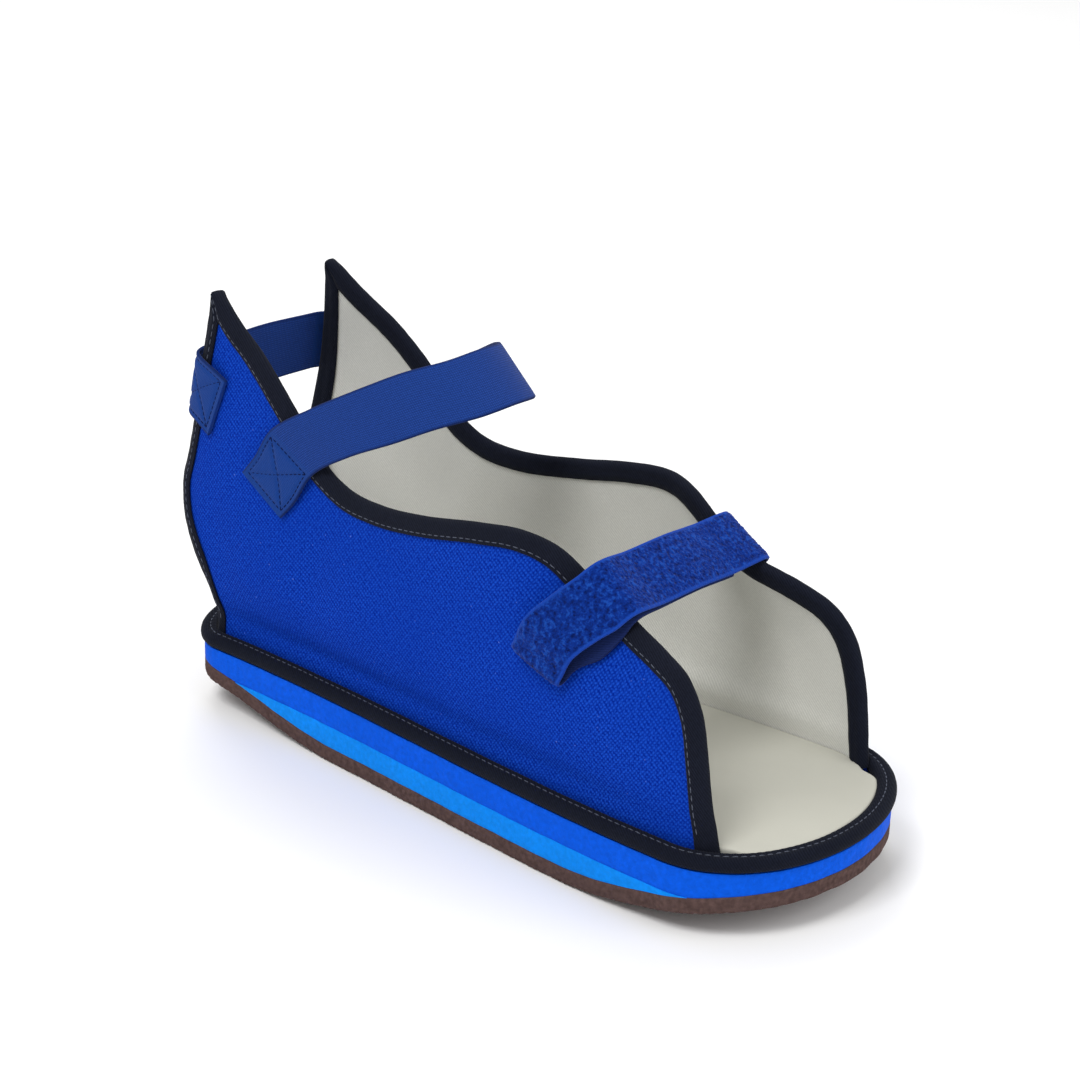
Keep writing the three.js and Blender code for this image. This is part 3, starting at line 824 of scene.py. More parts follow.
@dataclass(frozen=True)
class LoopPile:
    """The tape's looped pile: painted shade in the hollows, a painted highlight on the loops and a smooth
    selvedge.
    """

    name: str
    colour: Colour
    # Painted shade for the pile's hollows, and a painted highlight for its loops.
    hollow_shade: Colour
    loop_highlight: Colour
    selvedge: Colour
    tuft: float = 0.9 * MM
    loop: float = 0.4 * MM
    tuft_depth: float = 0.5 * MM
    loop_depth: float = 0.3 * MM

    def make(self) -> Material:
        """Builds the material."""
        shader = Shader(self.name, 0.8, sheen=0.06)
        at = shader.place(Space.OBJECT)
        tufts = shader.noise(at, self.tuft, 4)
        loops = shader.noise(at, self.loop, 3)
        mixed = shader.mixed(tufts, 0.65, loops, 0.35)
        # Painted shade: the pile is darker where its bump is low, in the hollows; painted highlight:
        # lighter where it is high, on the loops.
        pile = shader.blend(shader.remap(mixed, 0.34, 0.5), self.hollow_shade, self.colour)
        pile = shader.blend(shader.remap(mixed, 0.52, 0.64), pile, self.loop_highlight)
        shader.colour(shader.blend(shader.attribute("selvedge"), pile, self.selvedge))
        shader.relief((tufts, self.tuft_depth), (loops, self.loop_depth))
        return shader.material


@dataclass(frozen=True)
class Insole:
    """Smooth cover of the insole, faintly grained and a little grey with use."""

    name: str
    colour: Colour
    grain: float = 0.8 * MM
    patches: float = 30 * MM
    grain_depth: float = 0.05 * MM
    patch_depth: float = 0.6 * MM

    def make(self) -> Material:
        """Builds the material."""
        shader = Shader(self.name, 0.55)
        at = shader.place(Space.OBJECT)
        grain = shader.noise(at, self.grain, 4)
        broad = shader.noise(at, self.patches, 3)
        worn = shader.remap(broad, 0.35, 0.7, 0.6)
        shader.colour(shader.blend(worn, self.colour, shade(self.colour, 0.88)))
        shader.relief((grain, self.grain_depth), (broad, self.patch_depth))
        return shader.material


@dataclass(frozen=True)
class Finishes:
    """Every finish of the shoe, built once."""

    outsole: Material
    wedge: Material
    midsole: Material
    insole: Material
    canvas: Material
    lining: Material
    tape: Material
    band: Material
    webbing: Material
    pile: Material
    tape_back: Material
    grey_thread: Material
    blue_thread: Material

    @classmethod
    def build(cls) -> "Finishes":
        """Makes the materials in the shoe's own colours."""
        thread_pitch = 0.5 * MM
        canvas = (srgb(4, 52, 166), srgb(0, 32, 132), srgb(22, 74, 190), srgb(120, 150, 235))
        # The pile's own colour, the painted shade of its hollows, the painted highlight of its loops, and
        # its selvedge.
        pile = (srgb(8, 44, 128), srgb(3, 18, 72), srgb(24, 72, 164), srgb(20, 62, 156))
        webbing = (srgb(27, 57, 127), srgb(22, 57, 126), srgb(12, 26, 70))
        return cls(
            outsole=Foam("outsole_rubber", srgb(84, 66, 63), speck=0.3, roughness=0.8).make(),
            wedge=Foam("wedge_foam", srgb(14, 132, 232), speck=0.12).make(),
            midsole=Foam("midsole_foam", srgb(8, 86, 214), speck=0.14).make(),
            insole=Insole("insole_cover", srgb(192, 191, 180)).make(),
            canvas=Canvas("canvas", *canvas).make(),
            lining=PlainCloth("lining", srgb(208, 208, 202), Space.FLAT, contrast=0.1).make(),
            tape=PlainCloth("binding_tape", srgb(22, 25, 36)).make(),
            band=PlainCloth("band_cloth", srgb(20, 23, 34)).make(),
            webbing=Webbing("webbing", *webbing).make(),
            pile=LoopPile("loop_pile", *pile).make(),
            tape_back=PlainCloth("tape_back", srgb(24, 37, 82), Space.FLAT, contrast=0.2).make(),
            grey_thread=PlainCloth("grey_thread", srgb(86, 91, 104), pitch=thread_pitch).make(),
            blue_thread=PlainCloth("blue_thread", srgb(10, 24, 68), pitch=thread_pitch).make(),
        )


class Level(NamedTuple):
    """One level of a layer's side: its inset and its share of the layer's height."""

    inset: float
    up: float


@dataclass(frozen=True)
class RockerSole:
    """The three laminated layers, ground to a rocker at heel and toe."""

    outsole_thick: float = 6.5 * MM
    wedge_thick: float = 8.5 * MM
    flat_back: float = 58 * MM
    flat_front: float = 60 * MM
    heel_lift: float = 13 * MM
    toe_lift: float = 12 * MM
    bond: float = 0.3 * MM
    thinnest: float = 0.03 * MM
    tread_pitch: float = 3 * MM
    tread_depth: float = 0.35 * MM
    tread_power: int = 3
    ripple: Ripple = Ripple(0.12 * MM, 47, 113)
    blunt: float = 0.004
    columns: int = 300
    rows: int = 14
    sides: tuple[Level, ...] = (
        Level(0.35 * MM, 0), Level(0.06 * MM, 0.05), Level(0, 0.16), Level(0, 0.84),
        Level(0.04 * MM, 0.96), Level(0.18 * MM, 1),
    )
    outsole_sides: tuple[Level, ...] = (
        Level(1.1 * MM, 0), Level(0.3 * MM, 0.07), Level(0, 0.22), Level(0, 0.84),
        Level(0.04 * MM, 0.96), Level(0.18 * MM, 1),
    )

    def bottom(self, x: Array) -> Array:
        """Returns the height of the sole's underside."""
        heel = (-x - self.flat_back) / (LAST.half_length - self.flat_back)
        toe = (x - self.flat_front) / (LAST.half_length - self.flat_front)
        lift = self.heel_lift * np.sin(np.clip(heel, 0, 1) * math.pi / 2) ** 2
        return lift + self.toe_lift * np.sin(np.clip(toe, 0, 1) * math.pi / 2) ** 2

    def treaded(self, x: Array) -> Array:
        """Returns the height of the underside with its low ribs."""
        rib = 0.5 - 0.5 * np.cos(2 * math.pi * x / self.tread_pitch)
        return self.bottom(x) + self.tread_depth * rib**self.tread_power

    def outsole_top(self, x: Array) -> Array:
        """Returns the height of the outsole's top."""
        return self.bottom(x) + self.outsole_thick

    @property
    def wedge_level(self) -> float:
        """The level that the wedge is flush with."""
        return self.outsole_thick + self.wedge_thick + self.bond

    def wedge_top(self, x: Array) -> Array:
        """Returns the height of the wedge's top."""
        return np.full_like(x, self.wedge_level)

    def midsole_bottom(self, x: Array) -> Array:
        """Returns the height of the midsole's underside."""
        return np.maximum(self.wedge_level, self.outsole_top(x))

    def midsole_top(self, x: Array) -> Array:
        """Returns the height of the midsole's top."""
        return np.full_like(x, LAST.sole_top)

    def wedge_end(self, side: int) -> float:
        """Returns the share of the half outline where the wedge has thinned to nothing."""
        x = side * np.linspace(0, LAST.half_length, 3000)
        thick = self.wedge_level - self.outsole_top(x)
        return LAST.share_at(float(x[np.argmax(thick < self.thinnest)]))

    def layer(self, name: str, low: Reading, high: Reading, reach: tuple[float, float],
              sides: tuple[Level, ...]) -> Workpiece:
        """Makes one layer from a slab.

        Args:
            name: the layer's name.
            low: its underside's height along the shoe.
            high: its top's height along the shoe.
            reach: its ends, as shares of the half outline.
            sides: the levels of its side, from below.

        Returns:
            The bent slab.
        """
        insets, ups = np.array(sides).T

        def place(bench: Array) -> Array:
            """Returns the layer's points, each level at its inset and height."""
            level = np.rint(bench[:, 2]).astype(int)
            share = reach[0] + (reach[1] - reach[0]) * to_share(bench[:, 0])
            x, half = LAST.outline(share, insets[level] + self.ripple.at(share))
            under, over = low(x), high(x)
            return np.column_stack([x, bench[:, 1] * half, under + (over - under) * ups[level]])

        return Workpiece.slab(name, self.columns, self.rows, len(sides) - 1).form(place)

    def build(self, finishes: Finishes) -> None:
        """Makes and dresses the three layers."""
        whole = (self.blunt, 1 - self.blunt)
        lens = (self.wedge_end(-1), self.wedge_end(1))
        outsole = self.layer("outsole_tread", self.treaded, self.outsole_top, whole, self.outsole_sides)
        outsole.dress(finishes.outsole).hand_over("outsole_rubber", "outsole")
        wedge = self.layer("wedge_lens", self.outsole_top, self.wedge_top, lens, self.sides)
        wedge.dress(finishes.wedge).hand_over("wedge_foam", "wedge")
        midsole = self.layer("midsole_layer", self.midsole_bottom, self.midsole_top, whole, self.sides)
        midsole.dress(finishes.midsole).hand_over("midsole_foam", "midsole")


@dataclass(frozen=True)
class Stitching:
    """A run of short round stitches along a line."""

    length: float = 2.3 * MM
    pitch: float = 3.1 * MM
    thick: float = 0.34 * MM
    flatten: float = 0.8

    def sew(self, name: str, lay: Callable[[float], Array], lift: float,
            step: float = 0.5 * MM) -> Workpiece:
        """Lays stitches along a line on cloth.

        Args:
            name: the run's name.
            lay: gives the line's points, one row each, at a lift off the cloth.
            lift: where the stitches lie.
            step: how much further out the line is laid again to find the way out of the cloth.

        Returns:
            The joined stitches.
        """
        route = lay(lift)
        out = unit(lay(lift + step) - route)
        reach = lengths(route)
        count = max(int((reach[-1] - self.length) / self.pitch) + 1, 1)
        Workpiece.clear_bench()
        lying = (0, math.pi / 2, 0)
        bpy.ops.mesh.primitive_uv_sphere_add(segments=7, ring_count=6, radius=1, rotation=lying)
        bpy.ops.object.transform_apply(rotation=True)
        bpy.ops.object.mode_set(mode="EDIT")
        bpy.ops.mesh.select_all(action="SELECT")
        size = (self.length / 2, self.thick, self.thick * self.flatten)
        bpy.ops.transform.resize(value=size, center_override=(0, 0, 0))
        bpy.ops.transform.translate(value=(self.length / 2, 0, 0))
        bpy.ops.object.mode_set(mode="OBJECT")
        piece = Workpiece(name)
        piece.apply("ARRAY", count=count, use_relative_offset=False, use_constant_offset=True,
                    constant_offset_displace=(self.pitch, 0, 0))
        sideways = unit(np.cross(out, unit(np.gradient(route, axis=0))))

        def place(bench: Array) -> Array:
            """Returns the stitches' points along the line."""
            spot, over, beside = (read_at(bench[:, 0], reach, rows) for rows in (route, out, sideways))
            return spot + beside * bench[:, 1:2] + over * bench[:, 2:3]

        return piece.form(place, 80)


@dataclass(frozen=True)
class SoleBand:
    """The padded band sewn round the top of the sole, with its stitch line."""

    width: float = 7.5 * MM
    height: float = 6 * MM
    overhang: float = 1.5 * MM
    fullness: float = 2.4
    groove_at: float = math.radians(92)
    groove_reach: float = math.radians(10)
    groove_depth: float = 0.2
    pucker: float = 0.018
    pucker_pitch: float = 3.1 * MM
    pucker_at: float = 1.7
    pucker_reach: float = 0.9
    slack: float = 0.012
    slack_waves: tuple[tuple[float, float], ...] = ((210, 0), (93, 1))
    stitch_lift: float = 0.05 * MM
    around: int = 256
    section: int = 8
    refine: int = 2

    def rounded(self, level: Array) -> Array:
        """Returns a sine or cosine filled out towards a square section."""
        return np.sign(level) * np.abs(level) ** (2 / self.fullness)

    def surface(self, share: Array, side: Array, turn: Array, lift: float = 0) -> Array:
        """Places points on the band.

        Args:
            share: shares of the half outline, from heel to toe.
            side: the sign of Y.
            turn: the angle round the section, from straight out over the top.
            lift: how far the points stand off the band.

        Returns:
            One row a point.
        """
        reach = share * LAST.half_reach[-1]
        groove = bump_shape(turn - self.groove_at, self.groove_reach)
        beat = np.sin(reach * 2 * math.pi / self.pucker_pitch)
        pucker = self.pucker * beat * bump_shape(turn - self.pucker_at, self.pucker_reach)
        slack = sum(self.slack * np.sin(reach * turns + start) for turns, start in self.slack_waves)
        scale = 1 - self.groove_depth * groove + pucker + slack * np.sin(np.clip(turn, 0, math.pi))
        half_wide = self.width / 2 * scale + lift
        half_high = self.height / 2 * scale + lift
        inset = self.width / 2 - self.overhang - self.rounded(np.cos(turn)) * half_wide
        x, y = LAST.outline(share, inset)
        z = LAST.upper_base + self.height / 2 + self.rounded(np.sin(turn)) * half_high
        return np.column_stack([x, side * y, z])

    def build(self, finishes: Finishes) -> None:
        """Makes the band from a torus and sews it."""
        piece = Workpiece.ring("band_padded", self.around, self.section)
        piece.apply("SUBSURF", levels=self.refine, render_levels=self.refine)

        def place(bench: Array) -> Array:
            """Returns the torus's points laid round the sole."""
            around = np.arctan2(bench[:, 1], bench[:, 0])
            turn = np.arctan2(bench[:, 2], np.hypot(bench[:, 0], bench[:, 1]) - 1)
            side = np.where(bench[:, 1] < 0, -1, 1)
            return self.surface(1 - np.abs(around) / math.pi, side, turn)

        piece.form(place, 80).dress(finishes.band).hand_over("band_fabric", "sole_band")
        half = np.linspace(0.002, 0.998, 700)
        share = np.concatenate([half, half[::-1]])
        side = np.repeat([-1, 1], len(half))
        turn = np.full_like(share, self.groove_at)
        lay = partial(self.surface, share, side, turn)
        stitches = Stitching(thick=0.24 * MM).sew("band_stitches", lay, self.stitch_lift)
        stitches.dress(finishes.grey_thread).hand_over("band_fabric")


@dataclass(frozen=True)
class InsoleBoard:
    """The covered insole, wider where no panel stands beside it."""

    top: float = 31 * MM
    low: float = 28.4 * MM
    beside_panel: float = 9.5 * MM
    beside_band: float = 5.6 * MM
    widen: float = 7.5 * MM
    widen_after: float = 4.5 * MM
    round_edge: float = 1.1 * MM
    dish: float = 0.5 * MM
    dish_across: float = 0.75
    dish_along: float = 130 * MM
    blunt: float = 0.004
    columns: int = 260
    rows: int = 26
    levels: int = 5

    def inset(self, x: Array) -> Array:
        """Returns how far the board's edge lies inside the sole's outline."""
        front = smoothstep((x - LAST.panel_front - self.widen_after) / self.widen)
        back = smoothstep((-x - LAST.panel_back - self.widen_after) / self.widen)
        return self.beside_panel + (self.beside_band - self.beside_panel) * np.maximum(front, back)

    def build(self, finishes: Finishes) -> None:
        """Makes the board from a slab with a rounded rim."""

        def place(bench: Array) -> Array:
            """Returns the board's points: its underside, its rim and its dished top."""
            level = np.rint(bench[:, 2])
            rim = np.clip(level - 1, 0, None) / (self.levels - 1) * math.pi / 2
            share = self.blunt + (1 - 2 * self.blunt) * to_share(bench[:, 0])
            x0, _ = LAST.outline(share)
            x, half = LAST.outline(share, self.inset(x0) + self.round_edge * (1 - np.cos(rim)))
            side = self.top - self.round_edge
            z = np.where(level == 0, self.low, side + self.round_edge * np.sin(rim))
            middle = bump_shape(bench[:, 1], self.dish_across) * bump_shape(x, self.dish_along)
            z = np.where(level == self.levels, z - self.dish * middle, z)
            return np.column_stack([x, bench[:, 1] * half, z])

        piece = Workpiece.slab("insole_board", self.columns, self.rows, self.levels).form(place, 50)
        piece.dress(finishes.insole).hand_over("insole_cover", "insole")


@dataclass(frozen=True)
class Upper:
    """The two canvas panels with their lining, one on each side."""

    columns: int = 170
    rows: int = 64
    tuck: float = 1.7 * MM
    hold: int = 4

    def pattern(self, u: Array, v: Array) -> Array:
        """Reads the flat pattern between the panel's foot and its free edge.

        Args:
            u: shares from heel to toe.
            v: shares from the foot to the free edge.

        Returns:
            Places along the shoe and heights, one row a point.
        """
        peak = PEAK_ROW / LAST.free_edge.spans
        corner = TOE_CORNER_ROW / LAST.free_edge.spans
        top = LAST.edge_at(peak + (corner - peak) * u, self.tuck)
        back = LAST.edge_at(peak * v, self.tuck)
        front = LAST.edge_at(1 - (1 - corner) * v, self.tuck)
        along = -LAST.panel_back + (LAST.panel_back + LAST.panel_front) * u
        foot = np.column_stack([along, np.zeros_like(u)])
        ends = LAST.edge_at(np.array([0, peak, corner, 1]), self.tuck)
        u, v = u[:, None], v[:, None]
        flat = (1 - v) * foot + v * top
        flat += (1 - u) ** self.hold * (back - (1 - v) * ends[0] - v * ends[1])
        flat += u**self.hold * (front - (1 - v) * ends[3] - v * ends[2])
        return flat

    def panel(self, side: Side, finishes: Finishes) -> Workpiece:
        """Makes one panel: a slab whose upper level is the canvas and whose lower is the lining."""

        def flat(bench: Array) -> Array:
            """Returns the blank's places on the flat pattern."""
            return self.pattern(to_share(bench[:, 0]), to_share(bench[:, 1]))

        def place(bench: Array) -> Array:
            """Returns the panel's points, the lining one wall inside the canvas."""
            x, height = flat(bench).T
            return LAST.panel(x, height, (bench[:, 2] / 2 - 1) * LAST.wall, side)

        piece = Workpiece.slab(f"panel_{side.name.lower()}", self.columns, self.rows, 2)
        piece.map_flat(flat).bend(place).dress(finishes.canvas, finishes.lining)
        return piece.pick_faces(piece.bench[:, 2] < OUTER_FACE, 1).turn_out()

    def build(self, finishes: Finishes) -> None:
        """Makes both panels as one piece."""
        right = self.panel(Side.RIGHT, finishes)
        left = self.panel(Side.LEFT, finishes)
        right.join(left).smooth(60)
        right.body.name = "upper_panels"
        right.hand_over("canvas", "upper")


@dataclass(frozen=True)
class EdgeBinding:
    """The dark tape folded over each panel's free edge, with its stitch line."""

    depth: float = 7.4 * MM
    thick: float = 1 * MM
    puff: float = 0.55 * MM
    slip: float = 0.12
    lip: float = 0.5
    lip_power: int = 14
    ripple: Ripple = Ripple(0.07 * MM, 310, 127, 200)
    stitch_run: float = 1.5 * MM
    stitch_level: float = 1.05
    stitch_margin: float = 0.012
    lowest: float = 3.5 * MM
    columns: int = 520
    rows: int = 30

    @cached_property
    def line(self) -> tuple[Array, Array, Array]:
        """The free edge evenly spaced: its points, its inward normals and the room inside it."""
        raw = LAST.free_edge.at(np.linspace(0, 1, 4000))
        reach = lengths(raw)
        points = read_at(np.linspace(0, reach[-1], 900), reach, raw)
        along = unit(np.gradient(points, axis=0))
        inward = np.column_stack([along[:, 1], -along[:, 0]])
        room = np.full(len(points), self.depth)
        # At the peak the tape narrows until its inner rim is clear of the edge's other side.
        least = 1 * MM
        for depth in np.linspace(self.depth, least, 29):
            inner = points + inward * depth
            gap = np.linalg.norm(inner[:, None] - points[None], axis=2).min(axis=1)
            room = np.where((gap < depth * 0.96) & (room >= depth), depth * 0.97, room)
        return points, inward, room

    def surface(self, share: Array, depth: Array, out: Array | float, side: Side) -> Array:
        """Places points beside the free edge.

        Args:
            share: shares of the edge's length, from heel to toe.
            depth: how far in from the edge, before the room at the peak narrows it.
            out: distances from the panel's outside.
            side: which panel.

        Returns:
            One row a point.
        """
        points, inward, room = self.line
        place = share * (len(points) - 1)
        grid = np.arange(len(points))
        narrowed = depth * np.interp(place, grid, room) / self.depth
        x, height = (read_at(place, grid, points) + read_at(place, grid, inward) * narrowed[:, None]).T
        return LAST.panel(x, height, out, side)

    def reach(self) -> tuple[float, float]:
        """Returns the shares where the edge rises out of the band."""
        heights = self.line[0][:, 1]
        inside = np.nonzero(heights > self.lowest)[0]
        return inside[0] / (len(heights) - 1), inside[-1] / (len(heights) - 1)

    @property
    def bend(self) -> float:
        """The radius of the tape's middle where it folds over the panel's edge."""
        return LAST.wall / 2 + self.thick * (0.5 + self.slip)

    @property
    def leg(self) -> float:
        """The flat length of the tape on each side of the panel."""
        return self.depth - self.bend - self.thick / 2

    @property
    def girth(self) -> float:
        """The tape's whole width, round the fold."""
        return 2 * self.leg + math.pi * self.bend

    def cloth(self, share: Array, run: Array, side: Side, level: Array | float) -> Array:
        """Places points of the folded tape.

        Args:
            share: shares of the edge's length, from heel to toe.
            run: places across the tape, from its rim on the outside of the panel.
            side: which panel.
            level: -1 on the tape's inner face, 1 on its outer face.

        Returns:
            One row a point.
        """
        leg, bend = self.leg, self.bend
        turn = np.clip((run - leg) / bend, 0, math.pi)
        past = np.maximum(run - leg - math.pi * bend, 0)
        lip = 1 - self.lip * np.abs(2 * run / self.girth - 1) ** self.lip_power
        radius = bend + level * self.thick / 2 * lip
        depth = bend + self.thick / 2 + np.maximum(leg - run, 0) + past - radius * np.sin(turn)
        leg_share = np.clip(np.minimum(run, self.girth - run) / leg, 0, 1)
        full = self.puff * np.sin(leg_share * math.pi) ** 2 * np.sign(np.cos(turn)) * (level + 1) / 2
        out = radius * np.cos(turn) - LAST.wall / 2 + full + self.ripple.at(share, run)
        return self.surface(share, depth, out, side)

    def strip(self, side: Side, finishes: Finishes) -> None:
        """Makes one binding from a slab wrapped round the edge, and its stitches."""
        first, last = self.reach()
        name = side.name.lower()

        def place(bench: Array) -> Array:
            """Returns the tape's points, folded over the edge."""
            share = first + (last - first) * to_share(bench[:, 0])
            return self.cloth(share, to_share(bench[:, 1]) * self.girth, side, bench[:, 2] - 1)

        piece = Workpiece.slab(f"binding_{name}", self.columns, self.rows, 2).form(place, 70)
        piece.dress(finishes.tape).hand_over("binding_tape", f"edge_binding_{name}")
        share = np.linspace(first + self.stitch_margin, last - self.stitch_margin, 1400)
        lay = partial(self.cloth, share, np.full_like(share, self.stitch_run), side)
        stitches = Stitching(thick=0.2 * MM).sew(f"binding_stitches_{name}", lay, self.stitch_level, 1)
        stitches.dress(finishes.grey_thread).hand_over("binding_tape")

    def build(self, finishes: Finishes) -> None:
        """Makes both bindings."""
        for side in Side:
            self.strip(side, finishes)


class StrapLine:
    """A strap's two edges through its rows, from its right end to its left end."""

    def __init__(self, rows: Sequence[StrapRow], width: float, left_rows: Sequence[StrapRow] = ()) -> None:
        """Works out the right half's edges, and the left half's from its own rows or mirrored."""
        self.width = width
        self.facing = 1 if rows[-1].along > rows[0].along else -1
        right = np.array([self.ends(row) for row in rows])
        left = np.array([self.ends(row) for row in left_rows or rows[:-1]])[::-1] * (1, -1, 1)
        both = np.concatenate([right, left])
        self.top = SmoothCurve(both[:, 0])
        self.low = SmoothCurve(both[:, 1])
        self.shares = np.linspace(0, 1, 2000)
        self.reach = lengths(self.middle(self.shares))
        self.length = float(self.reach[-1])

    def middle(self, share: Array) -> Array:
        """Returns the middle line's points at shares of the rows."""
        return (self.top.at(share) + self.low.at(share)) / 2

    def ends(self, row: StrapRow) -> tuple[Array, Array]:
        """Returns the top and low ends of one row."""
        x = row.along * LAST.half_length
        height = row.up * LAST.panel_height
        turn = math.radians(row.turn)
        dx = -math.sin(turn) * self.width / 2
        dh = math.cos(turn) * self.width / 2

        def spot(at: float, up: float) -> Array:
            """Returns a point off the panel, or at the row's own place across."""
            if row.off is not None:
                return LAST.panel(np.array([at]), np.array([up]), row.off, Side.RIGHT)[0]
            return np.array([at, -row.out * LAST.half_ball, LAST.upper_base + up])

        middle = spot(x, height)
        across = unit(spot(x + dx, height + dh) - spot(x - dx, height - dh)) * self.width / 2
        return middle + across, middle - across

    def frames(self, share: Array) -> tuple[Array, Array, Array]:
        """Returns the top edge, the low edge and the outward normal at shares of the length."""
        share = np.interp(share * self.length, self.reach, self.shares)
        near = 0.0015
        along = unit(self.middle(share + near) - self.middle(share - near))
        top, low = self.top.at(share), self.low.at(share)
        return top, low, unit(np.cross(along, unit(top - low))) * self.facing


def strap_map(bench: Array, length: float, width: float) -> Array:
    """Returns a strap blank's places in metres, along from its start and across from its middle."""
    return np.column_stack([to_share(bench[:, 0]) * length, bench[:, 1] * width / 2])


@dataclass(frozen=True)
class WebbingStrap:
    """A webbing strap with a cross-stitched square at each end."""

    name: str
    node: str
    rows: tuple[StrapRow, ...]
    width: float = 25 * MM
    thick: float = 1.6 * MM
    patch: float = 25 * MM
    patch_margin: float = 0.8 * MM
    patch_fade: float = 1.2 * MM
    selvedge: float = 1.1 * MM
    selvedge_fade: float = 0.7 * MM
    selvedge_share: float = 0.7
    seam_inset: float = 2.2 * MM
    seam_reach: float = 0.8 * MM
    seam_depth: float = 0.5 * MM
    seam_lift: float = 0.05 * MM
    draw_in: float = 0.3 * MM
    thin: float = 0.25
    thin_power: int = 12
    ripple: Ripple = Ripple(0.12 * MM, 160, 71, 90)
    thread: Stitching = Stitching(length=1.7 * MM, pitch=2.2 * MM, thick=0.24 * MM)
    column: float = 0.7 * MM
    strips: int = 44

    @cached_property
    def line(self) -> StrapLine:
        """The strap's two edges."""
        return StrapLine(self.rows, self.width)

    @property
    def square(self) -> float:
        """Half the side of the sewn square."""
        return self.patch / 2 - self.seam_inset

    def seams(self, run: Array, across: Array) -> Array:
        """Returns the pull of the nearest sewn line, 0 to 1, at places on the strap in metres."""
        end = np.minimum(run, self.line.length - run) - self.patch / 2
        square = np.abs(np.maximum(np.abs(end), np.abs(across)) - self.square)
        cross = np.abs(np.abs(end) - np.abs(across)) / math.sqrt(2)
        inside = (np.abs(end) < self.square) & (np.abs(across) < self.square)
        distance = np.minimum(square, np.where(inside, cross, np.inf))
        return bump_shape(distance, self.seam_reach)

    def surface(self, run: Array, across: Array, lift: Array | float) -> Array:
        """Places points on the strap.

        Args:
            run: lengths from the right end.
            across: places across, from the middle towards the top edge.
            lift: distances from the strap's middle plane.

        Returns:
            One row a point.
        """
        top, low, normal = self.line.frames(run / self.line.length)
        share = (across / self.width + 0.5)[:, None]
        return low + (top - low) * share + normal * np.broadcast_to(lift, run.shape)[:, None]

    def build(self, finishes: Finishes) -> None:
        """Makes the strap from a slab and sews its ends."""
        length = self.line.length
        flat = partial(strap_map, length=length, width=self.width)

        def place(bench: Array) -> Array:
            """Returns the strap's points, with drawn-in rims, pulled seams and slight ripples."""
            run, across = flat(bench).T
            side = np.abs(bench[:, 1])
            level = bench[:, 2] - 1
            drawn = (side > RIM) & (np.abs(level) > 0.5)
            across = across - np.sign(across) * self.draw_in * drawn
            half = self.thick / 2 * (1 - self.thin * side**self.thin_power)
            pull = self.seam_depth * self.seams(run, across) * (level > 0.5)
            return self.surface(run, across, level * half - pull + self.ripple.at(run, across))

        piece = Workpiece.slab(self.name, int(length / self.column), self.strips, 2)
        run, across = flat(piece.bench).T
        end = np.minimum(run, length - run)
        piece.paint("patch", smoothstep((self.patch + self.patch_margin - end) / self.patch_fade))
        selvedge = smoothstep((np.abs(across) - self.width / 2 + self.selvedge) / self.selvedge_fade)
        piece.paint("selvedge", selvedge * self.selvedge_share)
        piece.map_flat(flat).form(place, 60)
        piece.dress(finishes.webbing).hand_over("webbing", self.node)
        self.sew(finishes)

    def sew(self, finishes: Finishes) -> None:
        """Sews a square and its two diagonals at each end."""
        corners = [(a * self.square, b * self.square) for a, b in ((-1, -1), (1, -1), (1, 1), (-1, 1))]
        pairs = ((0, 1), (1, 2), (2, 3), (3, 0), (0, 2), (1, 3))
        share = np.linspace(0, 1, 40)
        lift = self.thick / 2 - self.seam_depth + self.seam_lift
        runs = []
        for end, middle in (("right", self.patch / 2), ("left", self.line.length - self.patch / 2)):
            for i, (first, last) in enumerate(pairs):
                run, across = (a + (b - a) * share for a, b in zip(corners[first], corners[last]))
                lay = partial(self.surface, middle + run, across)
                runs.append(self.thread.sew(f"{self.name}_seam_{end}_{i}", lay, lift))
        joined = runs[0].join(*runs[1:])
        joined.body.name = f"{self.name}_stitches"
        joined.dress(finishes.blue_thread).hand_over("webbing")


